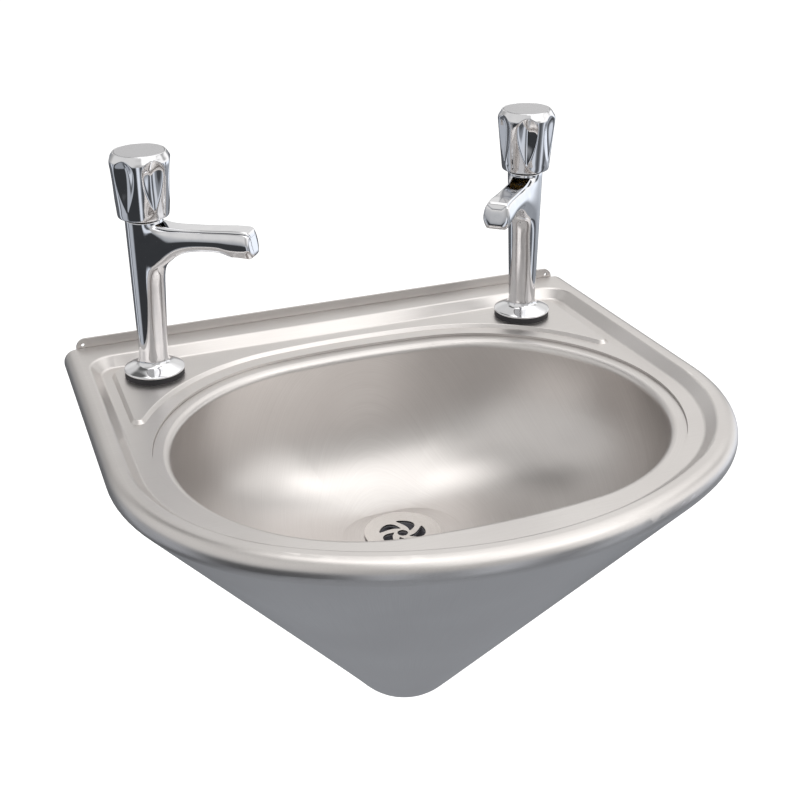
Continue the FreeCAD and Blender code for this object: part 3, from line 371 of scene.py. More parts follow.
FINISHES = {
    "deck": SatinSteel("satin_steel_deck"),
    "bowl": SatinSteel("satin_steel_bowl", grain=Grain.ROUND_Z, centre=WASTE_CENTRE),
    "apron": SatinSteel("satin_steel_apron", grain=Grain.DOWN_SLOPE, centre=APRON_TIP),
    "plate": SatinSteel("satin_steel_plate", roughness=0.42),
    # The waste's steel is painted dark below its grid: painted shade in its bore.
    "waste": SatinSteel("polished_steel_waste", colour="dcdad8", shade="d0cdca", roughness=0.16,
                        grain=Grain.ROUND_Z, centre=WASTE_CENTRE, painted_shade_level=-116.3 * MM),
    "chrome": PlatedChrome("plated_chrome"),
    "disc": SatinSteel("spun_aluminium_disc", colour="c6c6c9", shade="b4b4b8", roughness=0.22,
                       line_spacing=0.4 * MM, line_length=12.0 * MM),
    "brass": TurnedMetal("turned_brass", "d2b06a", "b08a45", 0.30),
    "zinc": TurnedMetal("zinc_plated_steel", "c3c6c8", "9fa3a6", 0.38, mottle_size=1.5 * MM),
    "rubber": MouldedPolymer("moulded_rubber", "2b2a2d", "1d1c1f", 0.62),
    "nozzle": MouldedPolymer("moulded_acetal", "dedede", "cfcfcf", 0.42),
    "nut": MouldedPolymer("moulded_nylon", "dcdad2", "cac7be", 0.48),
}

NODE_FINISHES = {
    "rim_deck": "deck", "bowl": "bowl", "apron": "apron", "wall_plate": "plate", "waste_fitting": "waste",
    "waste_top_seal": "rubber", "waste_bottom_seal": "rubber", "waste_back_nut": "nut",
    "tap_body": "chrome", "base_gasket": "rubber", "fixing_washer": "zinc", "back_nut": "brass",
    "headwork": "brass", "headwork_seal": "rubber", "spindle": "brass", "spindle_seal": "rubber",
    "valve_plunger": "brass", "valve_washer": "rubber", "handle": "chrome", "handle_screw": "zinc",
    "index_disc": "disc", "nozzle": "nozzle",
}


def finish_of(node: str) -> str:
    """Name of the finish that a CAD node takes.

    Args:
        node: The node's name, with the side of a tap's piece in front.

    Returns:
        The finish's key.
    """
    return NODE_FINISHES[node.removeprefix("left_").removeprefix("right_")]


class Dresser:
    """Holds the built materials and gives them to objects."""

    def __init__(self) -> None:
        """Builds every finish once."""
        self.materials = {name: finish.build() for name, finish in FINISHES.items()}

    def dress(self, obj: bpy.types.Object, finish: str) -> None:
        """Gives an object one finish all over.

        Args:
            obj: The object.
            finish: The finish's key.
        """
        if not obj.material_slots:
            obj.data.materials.append(None)
        for slot in obj.material_slots:
            slot.material = self.materials[finish]

    def dress_nodes(self) -> None:
        """Gives each CAD node the finish of the real piece."""
        for name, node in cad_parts.items():
            self.dress(node, finish_of(name))


def apply_modifier(obj: bpy.types.Object, kind: str, **settings: Any) -> None:
    """Adds a modifier and applies it.

    Args:
        obj: The active object.
        kind: The modifier's type.
        **settings: Properties of the modifier.
    """
    modifier = obj.modifiers.new(kind.lower(), kind)
    for name, value in settings.items():
        setattr(modifier, name, value)
    bpy.ops.object.modifier_apply(modifier=modifier.name)


class Shaper:
    """A new piece on the bench: a primitive that edit mode operators shape. Lengths are in millimetres."""

    def __init__(self, name: str, sides: int, radius: float, level: float, turn: float = 0.0) -> None:
        """Starts the piece as a filled ring and opens it in edit mode.

        Args:
            name: Name of the piece.
            sides: Corners of the ring.
            radius: Radius of the ring.
            level: Height of the ring.
            turn: Degrees that the ring is turned by.
        """
        bpy.ops.object.select_all(action="DESELECT")
        bpy.ops.mesh.primitive_circle_add(
            vertices=sides, radius=radius * MM, fill_type="NGON", location=(0.0, 0.0, level * MM),
            rotation=(0.0, 0.0, math.radians(turn)))
        bpy.ops.object.transform_apply()
        self.obj = bpy.context.object
        self.obj.name = name
        self.radius = radius
        self.level = level
        bpy.ops.object.mode_set(mode="EDIT")
        bpy.ops.mesh.select_mode(type="FACE")
        bpy.ops.mesh.select_all(action="SELECT")

    def rings(self, profile: Iterable[tuple[float, float]]) -> None:
        """Extrudes the selected cap through the rings of a turned profile.

        Args:
            profile: Height and radius of each ring.
        """
        for level, radius in profile:
            self.extrude(0.0, level - self.level)
            share = radius / self.radius
            bpy.ops.transform.resize(value=(share, share, 1.0), center_override=(0.0, 0.0, level * MM))
            self.level = level
            self.radius = radius

    def extrude(self, forward: float, upward: float) -> None:
        """Extrudes the selected faces along X and Z."""
        move = {"value": (forward * MM, 0.0, upward * MM)}
        bpy.ops.mesh.extrude_region_move(TRANSFORM_OT_translate=move)

    def choose(self, kind: str, test: Callable[[Vector], bool]) -> None:
        """Selects faces, edges or points by place.

        Args:
            kind: "FACE", "EDGE" or "VERT".
            test: Takes the middle of a part in millimetres, and returns True to select it.
        """
        bpy.ops.mesh.select_mode(type=kind)
        bpy.ops.mesh.select_all(action="DESELECT")
        cage = bmesh.from_edit_mesh(self.obj.data)
        for part in {"FACE": cage.faces, "EDGE": cage.edges, "VERT": cage.verts}[kind]:
            corners = [part] if kind == "VERT" else part.verts
            middle = sum((corner.co for corner in corners), Vector()) / len(corners) / MM
            if test(middle):
                part.select_set(True)
        bmesh.update_edit_mesh(self.obj.data)

    def finish(self, levels: int) -> bpy.types.Object:
        """Leaves edit mode and subdivides the cage.

        Args:
            levels: Levels of subdivision, or 0 for none.

        Returns:
            The finished object, still about the origin.
        """
        bpy.ops.mesh.select_all(action="SELECT")
        bpy.ops.mesh.normals_make_consistent()
        bpy.ops.object.mode_set(mode="OBJECT")
        if levels:
            apply_modifier(self.obj, "SUBSURF", levels=levels, render_levels=levels)
        bpy.ops.object.shade_smooth()
        return self.obj


@dataclass(frozen=True)
class TapSite:
    """Where a tap stands: its side, its place in millimetres, and the turn of spout and handle."""

    side: str
    place: tuple[float, float, float]
    spout_turn: float
    handle_turn: float

    def set_copy(self, master: bpy.types.Object, name: str, turn: float) -> bpy.types.Object:
        """Sets a copy of a finished piece, with its own mesh, on this tap's axis.

        Args:
            master: The piece, modelled about the origin.
            name: Name of the copy, after the tap's side.
            turn: Degrees that the copy is turned by.

        Returns:
            The copy, with its place in its mesh.
        """
        piece = master.copy()
        piece.data = master.data.copy()
        piece.name = self.side + "_" + name
        bpy.context.scene.collection.objects.link(piece)
        piece.rotation_euler = (0.0, 0.0, math.radians(turn))
        piece.location = [length * MM for length in self.place]
        bpy.ops.object.select_all(action="DESELECT")
        bpy.context.view_layer.objects.active = piece
        piece.select_set(True)
        bpy.ops.object.transform_apply()
        return piece


TAP_SITES = (
    TapSite("left", (-152.3, -57.0, -5.0), -37.0, -16.0),
    TapSite("right", (144.8, -57.0, -5.0), -131.0, 6.0),
)


@dataclass
class SpoutStation:
    """One section along the spout: its distance from the tap's axis, its heights and its half width."""

    reach: float
    underside: float
    top: float
    half_width: float
    # Degrees that the section leans back towards the column at its top.
    lean: float = 0.0


@dataclass
class TapCasting:
    """The chromed brass casting of a tap: flange, tapering column, spout with its nose, and tail below."""

    sides: int = 16
    # A cage of 16 sides subdivides to a slightly smaller circle, and this makes up for it.
    swell: float = 1.026
    foot_level: float = -45.0
    # Profiles: height above the ledge, and radius.
    tail: tuple[tuple[float, float], ...] = (
        (-44.6, 10.1), (-15.0, 10.1), (-14.5, 10.4), (3.4, 10.4), (4.0, 11.2))
    flange: tuple[tuple[float, float], ...] = (
        (4.0, 21.4), (4.25, 22.0), (5.2, 22.05), (5.75, 21.5), (7.2, 18.0), (8.5, 14.2), (9.6, 11.9),
        (11.6, 10.6), (14.5, 10.3))
    column: tuple[tuple[float, float], ...] = (
        (30.0, 10.75), (50.0, 11.35), (68.0, 11.9), (84.0, 12.35), (95.0, 12.7), (105.0, 13.0), (115.5, 13.3),
        (118.9, 13.4), (119.5, 13.0), (119.5, 12.3))
    throat: tuple[tuple[float, float], ...] = ((119.5, 9.6), (118.5, 9.2), (112.0, 9.0))
    # The spout's root on the column: heights, half angle, and columns of faces.
    spout_rows: tuple[float, float] = (84.0, 115.5)
    spout_spread: float = 60.0
    root_faces: int = 5
    stations: list[SpoutStation] = field(default_factory=lambda: [
        SpoutStation(18.5, 88.5, 113.4, 10.9),
        SpoutStation(25.5, 95.4, 113.8, 10.8),
        SpoutStation(36.0, 99.9, 114.3, 10.8),
        SpoutStation(54.0, 101.0, 115.2, 10.8),
        SpoutStation(61.0, 100.5, 115.6, 10.9),
        SpoutStation(66.0, 98.1, 115.9, 11.1),
        SpoutStation(80.8, 98.0, 116.3, 11.5, 8.0),
        SpoutStation(82.6, 98.8, 115.2, 10.6),
        SpoutStation(83.6, 100.6, 113.6, 5.4),
    ])
    outlet_station: int = 6
    # How far the corners of the spout's section are drawn in: share of the width, share of the height.
    lower_corner: tuple[float, float] = (0.76, 0.88)
    upper_corner: tuple[float, float] = (0.78, 0.90)
    # Share of the section's height at which its shoulder lies, and how much of the width is kept there.
    shoulder_level: float = 2 / 3
    shoulder_width: float = 0.93
    # Share of the half width past which a point belongs to a section's side.
    side_share: float = 0.9
    # Distance from the shoulder's height within which a point is drawn in with it.
    shoulder_reach: float = 1.2
    # Share of the half width that the outlet takes.
    outlet_share: float = 0.66
    outlet_border: float = 1.3
    outlet_depth: float = 5.0
    tail_bore: float = 6.5
    bore_depth: float = 20.0
    # Height above the nose's underside, and distance from its toe, within which its lower edge lies.
    foot_reach: float = 1.0
    edge_reach: float = 0.6
    edge_crease: float = 0.3

    def turn_profile(self) -> Shaper:
        """Makes the turned form from the tail to the mouth of the column.

        Returns:
            The casting without its spout.
        """
        tail_radius = self.tail[0][1]
        shaper = Shaper("casting", self.sides, tail_radius * self.swell, self.foot_level, 180.0 / self.sides)
        for part in (self.tail, self.flange, self.column, self.throat):
            shaper.rings((level, radius * self.swell) for level, radius in part)
        bpy.ops.mesh.select_all(action="SELECT")
        bpy.ops.mesh.normals_make_consistent()
        return shaper

    def draw_spout(self, shaper: Shaper) -> None:
        """Extrudes the spout from the front of the column through its stations.

        Args:
            shaper: The casting so far.
        """
        low, high = self.spout_rows
        spread = math.tan(math.radians(self.spout_spread))
        shaper.choose("FACE", lambda middle: (
            low < middle.z < high and middle.x > 0.0 and abs(middle.y) < middle.x * spread))
        bottom, top = low, high
        reach = next(radius for level, radius in self.column if level == high)
        corner = math.radians(self.root_faces / 2 * 360.0 / self.sides)
        half = reach * math.sin(corner) * self.swell
        for number, station in enumerate(self.stations):
            shaper.extrude(station.reach - reach, 0.0)
            middle = (bottom + top) / 2
            around = (station.reach * MM, 0.0, middle * MM)
            # The curved root is pressed flat at the first station.
            flat = 0.0 if number == 0 else 1.0
            height = (station.top - station.underside) / (top - bottom)
            bpy.ops.transform.resize(value=(flat, station.half_width / half, height), center_override=around)
            lift = (station.underside + station.top - bottom - top) / 2
            bpy.ops.transform.translate(value=(0.0, 0.0, lift * MM))
            if number == 0:
                self.round_section(shaper, station)
            if station.lean:
                foot = (station.reach * MM, 0.0, station.underside * MM)
                bpy.ops.transform.rotate(
                    value=math.radians(station.lean), orient_axis="Y", center_override=foot)
            reach, bottom, top, half = station.reach, station.underside, station.top, station.half_width

    def round_section(self, shaper: Shaper, station: SpoutStation) -> None:
        """Draws in the corners of the first section, which the later ones copy.

        Args:
            shaper: The casting so far.
            station: The section.
        """
        here = station.reach
        side = self.side_share * station.half_width
        middle = (here * MM, 0.0, (station.underside + station.top) / 2 * MM)
        corners = ((station.underside, self.lower_corner), (station.top, self.upper_corner))
        for level, (width, height) in corners:
            shaper.choose("VERT", lambda point, level=level: (
                abs(point.x - here) < NEAR and abs(point.z - level) < NEAR and abs(point.y) > side))
            bpy.ops.transform.resize(value=(1.0, width, height), center_override=middle)
        shoulder = station.underside + (station.top - station.underside) * self.shoulder_level
        shaper.choose("VERT", lambda point: (
            abs(point.x - here) < NEAR and abs(point.y) > side
            and abs(point.z - shoulder) < self.shoulder_reach))
        bpy.ops.transform.resize(value=(1.0, self.shoulder_width, 1.0), center_override=middle)
        shaper.choose("FACE", lambda middle: abs(middle.x - here) < NEAR)

    def open_ends(self, shaper: Shaper) -> None:
        """Opens the outlet under the nose and the bore of the tail.

        Args:
            shaper: The casting so far.
        """
        heel, toe = self.stations[self.outlet_station - 1], self.stations[self.outlet_station]
        shaper.choose("FACE", lambda middle: (
            heel.reach < middle.x < toe.reach and middle.z < heel.underside + self.foot_reach
            and abs(middle.y) < self.outlet_share * toe.half_width))
        bpy.ops.mesh.inset(thickness=self.outlet_border * MM)
        shaper.extrude(0.0, self.outlet_depth)
        shaper.choose("FACE", lambda middle: middle.z < self.foot_level + NEAR)
        bpy.ops.mesh.inset(thickness=(self.tail[0][1] - self.tail_bore) * self.swell * MM)
        shaper.extrude(0.0, self.bore_depth)

    def sharpen(self, shaper: Shaper) -> None:
        """Keeps the lower edge of the nose crisper than the rest.

        Args:
            shaper: The casting so far.
        """
        toe = self.stations[self.outlet_station]
        shaper.choose("EDGE", lambda middle: (
            abs(middle.x - toe.reach) < self.edge_reach and middle.z < toe.underside + self.foot_reach))
        bpy.ops.transform.edge_crease(value=self.edge_crease)

    def build(self, dresser: Dresser, sites: Iterable[TapSite]) -> None:
        """Makes the casting, sets a copy on each ledge and dresses it.

        Args:
            dresser: Gives the chrome.
            sites: Where the taps stand.
        """
        shaper = self.turn_profile()
        self.draw_spout(shaper)
        self.open_ends(shaper)
        self.sharpen(shaper)
        master = shaper.finish(2)
        dresser.dress(master, "chrome")
        for site in sites:
            casting = site.set_copy(master, "casting", site.spout_turn)
            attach(casting, "basin")
            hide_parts(site.side + "_tap_body")
        bpy.data.objects.remove(master)


@dataclass
class FluteRow:
    """One ring across a flute: its height on the grip, the angle from middle to edge, and the depth."""

    level: float
    edge: float
    depth: float


@dataclass
class Grip:
    """The chromed handle of a tap: a flared body whose six flutes end in an arch below the crown."""

    foot_level: float = 121.5
    roof: float = 18.5
    flutes: int = 6
    columns: int = 72
    # Columns from the middle of a flute to its edge, and as many from there to the middle of the ridge.
    flute_columns: int = 3
    # How round the floor of a flute is across: 1 is a sharp groove, and more is rounder.
    flute_round: float = 1.8
    swell: float = 1.0015
    cavity: tuple[tuple[float, float], ...] = ((14.0, 15.5), (1.2, 15.5), (0.3, 15.8))
    foot: tuple[tuple[float, float], ...] = ((0.0, 16.3), (0.0, 17.2), (0.3, 17.8), (1.2, 18.12), (4.0, 18.4))
    flare: tuple[float, float] = (18.0, 22.0)
    flare_height: float = 40.5
    flute_rows: list[FluteRow] = field(default_factory=lambda: [FluteRow(*row) for row in (
        (7.0, 2.5, 0.0), (9.8, 5.5, 0.4), (13.0, 9.5, 1.0), (17.5, 14.3, 1.9), (22.5, 18.3, 3.0),
        (28.0, 20.8, 3.9), (33.5, 21.8, 4.5), (38.0, 21.0, 4.4), (41.2, 17.5, 3.4), (43.0, 11.0, 1.5),
        (44.0, 5.0, 0.0))])
    crown_level: float = 41.2
    shoulder_slope: float = 0.587
    crown: tuple[tuple[float, float], ...] = (
        (44.6, 19.95), (46.4, 18.9), (46.95, 18.5), (47.0, 18.1), (46.8, 17.75), (46.0, 17.65), (44.8, 17.65))
    edge_crease: float = 0.45
    # Degrees within which a point counts as lying in a column, and on an edge.
    column_reach: float = 0.5
    edge_reach: float = 0.3

    def radius_at(self, level: float) -> float:
        """Gives the radius of the flared body, or of the shoulder above its crown.

        Args:
            level: Height on the grip.

        Returns:
            The radius, before the flutes are pressed in.
        """
        foot, crown = self.flare
        flared = foot + (crown - foot) * min(level, self.flare_height) / self.flare_height
        return flared - max(level - self.crown_level, 0.0) * self.shoulder_slope

    def turn_body(self) -> Shaper:
        """Makes the round body from the cavity below, over the crown, to the seat of the index disc.

        Returns:
            The grip without flutes.
        """
        shaper = Shaper("grip", self.columns, self.cavity[0][1] * self.swell, self.foot_level + self.roof)
        rows = [(row.level, self.radius_at(row.level)) for row in self.flute_rows]
        for part in (self.cavity, self.foot, rows, self.crown):
            shaper.rings((self.foot_level + level, radius * self.swell) for level, radius in part)
        return shaper

    def flute_angle(self, point: Vector) -> float:
        """Gives the angle in degrees, signed, from the middle of the nearest flute to a point."""
        pitch = 360.0 / self.flutes
        return (math.degrees(math.atan2(point.y, point.x)) + pitch / 2) % pitch - pitch / 2

    def choose_column(self, shaper: Shaper, level: float, angle: float) -> None:
        """Selects the points of one ring that lie at an angle from the middle of their flute.

        Args:
            shaper: The grip so far.
            level: Height of the ring on the grip.
            angle: Degrees from the flute's middle, signed.
        """
        shaper.choose("VERT", lambda point: (
            abs(point.z - self.foot_level - level) < NEAR
            and abs(self.flute_angle(point) - angle) < self.column_reach))

    def cut_flutes(self, shaper: Shaper) -> None:
        """Presses the flutes in row by row, with the columns drawn in to each flute's edge.

        Args:
            shaper: The grip so far.
        """
        pitch = 360.0 / self.columns
        ridge = 180.0 / self.flutes
        inner = self.flute_columns
        for row in self.flute_rows:
            radius = self.radius_at(row.level)
            # Columns that spread are moved from the outside in, and those that close up from the inside out.
            steps = range(2 * inner)
            for step in reversed(steps) if row.edge > inner * pitch else steps:
                inside = min(step, inner) / inner
                outside = max(step - inner, 0) / inner
                share = 1.0 - row.depth * (1.0 - inside ** self.flute_round) / radius
                angle = row.edge * inside + (ridge - row.edge) * outside
                for hand in ((1,) if step == 0 else (1, -1)):
                    self.choose_column(shaper, row.level, hand * step * pitch)
                    bpy.ops.transform.resize(value=(share, share, 1.0), center_override=(0.0, 0.0, 0.0))
                    turn = math.radians(hand * (angle - step * pitch))
                    # With no window the operator turns the other way.
                    bpy.ops.transform.rotate(value=-turn, orient_axis="Z", center_override=(0.0, 0.0, 0.0))

    def sharpen(self, shaper: Shaper) -> None:
        """Creases the edges of the flutes.

        Args:
            shaper: The grip so far.
        """
        shaper.choose("VERT", self.lies_on_edge)
        bpy.ops.mesh.select_mode(type="EDGE")
        bpy.ops.transform.edge_crease(value=self.edge_crease)

    def lies_on_edge(self, point: Vector) -> bool:
        """Tests whether a point lies on the edge of a flute.

        Args:
            point: The point.

        Returns:
            True on an edge, apart from the ends of the flutes.
        """
        around = abs(self.flute_angle(point))
        level = point.z - self.foot_level
        return any(abs(level - row.level) < NEAR and abs(around - row.edge) < self.edge_reach
                   for row in self.flute_rows[1:-1])

    def build(self, dresser: Dresser, sites: Iterable[TapSite]) -> None:
        """Makes the grip, sets a copy on each tap and dresses it.

        Args:
            dresser: Gives the chrome.
            sites: Where the taps stand.
        """
        shaper = self.turn_body()
        self.cut_flutes(shaper)
        self.sharpen(shaper)
        master = shaper.finish(2)
        dresser.dress(master, "chrome")
        for site in sites:
            grip = site.set_copy(master, "grip", site.handle_turn)
            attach(grip, site.side + "_handle_group")
            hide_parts(site.side + "_handle")
        bpy.data.objects.remove(master)


@dataclass
class WasteFitting:
    """The polished basin waste: a dished flange with five swirling slots, and a tail with a spigot."""

    place: tuple[float, float, float] = (0.0, -162.0, -116.0)
    sides: int = 64
    grid_foot: float = -1.6
    bore: float = 17.0
    tail: tuple[tuple[float, float], ...] = (
        (-56.5, 17.0), (-56.5, 20.0), (-19.0, 20.0), (-19.0, 20.95), (1.0, 20.95))
    flange: tuple[tuple[float, float], ...] = (
        (1.0, 28.0), (1.8, 28.0), (1.8, 27.2), (0.75, 17.8))
    slots: int = 5
    # The outline of a slot, in degrees and radius: inner tip, swelling side, outer tip and hollow side.
    slot_outline: tuple[tuple[float, float], ...] = (
        (-2.0, 6.6), (6.0, 9.8), (14.0, 13.2), (28.0, 16.0), (48.0, 16.9), (71.0, 17.0), (64.0, 13.8),
        (50.0, 10.8), (30.0, 8.3), (10.0, 6.6))
    slot_start: float = 14.0
    centre_hole: float = 3.9
    hole_sides: int = 32
    cut_depth: float = 6.0
    # The slot's tool starts as a wide ring, so that its corners lie far apart while they are moved.
    wide_ring: float = 100.0
    # How much further out than its place a corner of the slot's tool starts, as a share of its distance
    # from the middle between its neighbours.
    corner_lead: float = 0.5
    edge_round: float = 0.35
    edge_angle: float = 50.0
    smooth_angle: float = 35.0

    def turn_body(self) -> bpy.types.Object:
        """Makes the turned fitting.

        Returns:
            The fitting without holes.
        """
        shaper = Shaper("waste", self.sides, self.bore, self.grid_foot)
        shaper.rings(self.tail)
        shaper.rings(self.flange)
        return shaper.finish(0)

    def slot_cutter(self) -> bpy.types.Object:
        """Makes the tool that cuts one slot, with its inner tip near the X axis.

        Returns:
            The tool.
        """
        count = len(self.slot_outline)
        top = self.flange[-1][0] + self.cut_depth / 2
        shaper = Shaper("slot_tool", count, self.wide_ring, top)
        wanted = [self.at_angle(angle, radius) for angle, radius in self.slot_outline]
        for number, point in enumerate(wanted):
            # Subdivision draws a corner in towards its neighbours, so it starts further out.
            middle = (wanted[number - 1] + wanted[(number + 1) % count]) / 2
            end = point + (point - middle) * self.corner_lead
            start = self.at_angle(90.0 + 360.0 * number / count, self.wide_ring)
            shaper.choose("VERT", lambda corner, start=start: (corner.xy - start.xy).length < NEAR)
            bpy.ops.transform.translate(value=tuple((end - start) * MM))
        bpy.ops.mesh.select_mode(type="FACE")
        bpy.ops.mesh.select_all(action="SELECT")
        shaper.extrude(0.0, -self.cut_depth)
        foot = top - self.cut_depth
        shaper.choose("EDGE", lambda middle: min(abs(middle.z - top), abs(middle.z - foot)) < NEAR)
        bpy.ops.transform.edge_crease(value=1.0)
        return shaper.finish(2)

    def at_angle(self, angle: float, radius: float) -> Vector:
        """Gives the point at an angle in degrees and a radius round the waste's axis."""
        return Vector((math.cos(math.radians(angle)), math.sin(math.radians(angle)), 0.0)) * radius

    def hole_cutter(self) -> bpy.types.Object:
        """Makes the tool that cuts the centre hole.

        Returns:
            The tool.
        """
        top = self.flange[-1][0] + self.cut_depth / 2
        shaper = Shaper("hole_tool", self.hole_sides, self.centre_hole, top)
        shaper.extrude(0.0, -self.cut_depth)
        return shaper.finish(0)

    def cut(self, body: bpy.types.Object, tool: bpy.types.Object, turn: float) -> None:
        """Cuts a tool out of the body.

        Args:
            body: The turned fitting.
            tool: The tool, modelled about the origin.
            turn: Degrees that the tool is turned by.
        """
        tool.rotation_euler = (0.0, 0.0, math.radians(turn))
        bpy.context.view_layer.update()
        bpy.ops.object.select_all(action="DESELECT")
        bpy.context.view_layer.objects.active = body
        body.select_set(True)
        apply_modifier(body, "BOOLEAN", operation="DIFFERENCE", solver="EXACT", object=tool)

    def build(self, dresser: Dresser) -> None:
        """Makes the waste, sets it in the bowl's floor and dresses it.

        Args:
            dresser: Gives the polished steel.
        """
        body = self.turn_body()
        hole = self.hole_cutter()
        slot = self.slot_cutter()
        self.cut(body, hole, 0.0)
        for number in range(self.slots):
            self.cut(body, slot, self.slot_start + 360.0 * number / self.slots)
        for tool in (hole, slot):
            bpy.data.objects.remove(tool)
        apply_modifier(body, "BEVEL", width=self.edge_round * MM, segments=2, limit_method="ANGLE",
                       angle_limit=math.radians(self.edge_angle))
        bpy.ops.object.shade_smooth_by_angle(angle=math.radians(self.smooth_angle))
        apply_modifier(body, "WEIGHTED_NORMAL", keep_sharp=True)
        body.location = [length * MM for length in self.place]
        bpy.ops.object.transform_apply()
        body.name = "waste_grid"
        dresser.dress(body, "waste")
        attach(body, "basin")
        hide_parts("waste_fitting")


@dataclass(frozen=True)
class SoftPatch:
    """A soft-edged window or flag of the studio, which only reflections show.

    Angles are in degrees. The azimuth runs clockwise from the wall's side, seen from above, so the wall is
    at 0, the basin's right at 90 and its front at 180.
    """

    azimuth: float
    half_width: float
    elevation: float
    half_height: float
    level: float
    softness: float = 8.0

    def window(self, sheet: NodeSheet, angle: bpy.types.NodeSocket, half: float) -> bpy.types.NodeSocket:
        """A smooth window round an angle of zero.

        Args:
            sheet: The world's nodes.
            angle: The angle in radians, at zero in the window's middle.
            half: Half of the window's width in degrees.

        Returns:
            One inside, zero outside, and soft between.
        """
        edges = [math.radians(half + side * self.softness / 2) for side in (1, -1)]
        return sheet.remap(sheet.calculate("ABSOLUTE", angle), edges, interpolation_type="SMOOTHSTEP")

    def lay(self, sheet: NodeSheet, direction: bpy.types.NodeSocket,
            below: bpy.types.NodeSocket) -> bpy.types.NodeSocket:
        """Lays the patch over the level that is there already.

        Args:
            sheet: The world's nodes.
            direction: The direction that the world is seen in.
            below: The level without this patch.

        Returns:
            The level with this patch.
        """
        turned = sheet.add("ShaderNodeVectorRotate", {
            "Vector": direction, "Angle": math.radians(self.azimuth)}, rotation_type="Z_AXIS")
        parts = sheet.add("ShaderNodeSeparateXYZ", {"Vector": turned.outputs["Vector"]})
        beside = sheet.calculate("ARCTAN2", parts.outputs["X"], parts.outputs["Y"])
        height = sheet.calculate("ARCSINE", parts.outputs["Z"])
        above = sheet.calculate("SUBTRACT", height, math.radians(self.elevation))
        across = self.window(sheet, beside, self.half_width)
        share = sheet.calculate("MULTIPLY", across, self.window(sheet, above, self.half_height))
        mixed = sheet.add("ShaderNodeMix", {0: share, 2: below, 3: self.level}, data_type="FLOAT")
        return mixed.outputs[0]


@dataclass
class Softbox:
    """A soft area lamp."""

    name: str
    place: tuple[float, float, float]
    size: tuple[float, float]
    power: float
    target: tuple[float, float, float] = (0.0, -0.19, -0.02)

    def build(self) -> None:
        """Makes the lamp."""
        data = bpy.data.lights.new(self.name, "AREA")
        data.shape = "RECTANGLE"
        data.size, data.size_y = self.size
        data.energy = self.power
        lamp = bpy.data.objects.new(self.name, data)
        bpy.context.scene.collection.objects.link(lamp)
        lamp.location = self.place
        direction = Vector(self.target) - Vector(self.place)
        lamp.rotation_euler = direction.to_track_quat("-Z", "Y").to_euler()
        lamp.visible_glossy = False


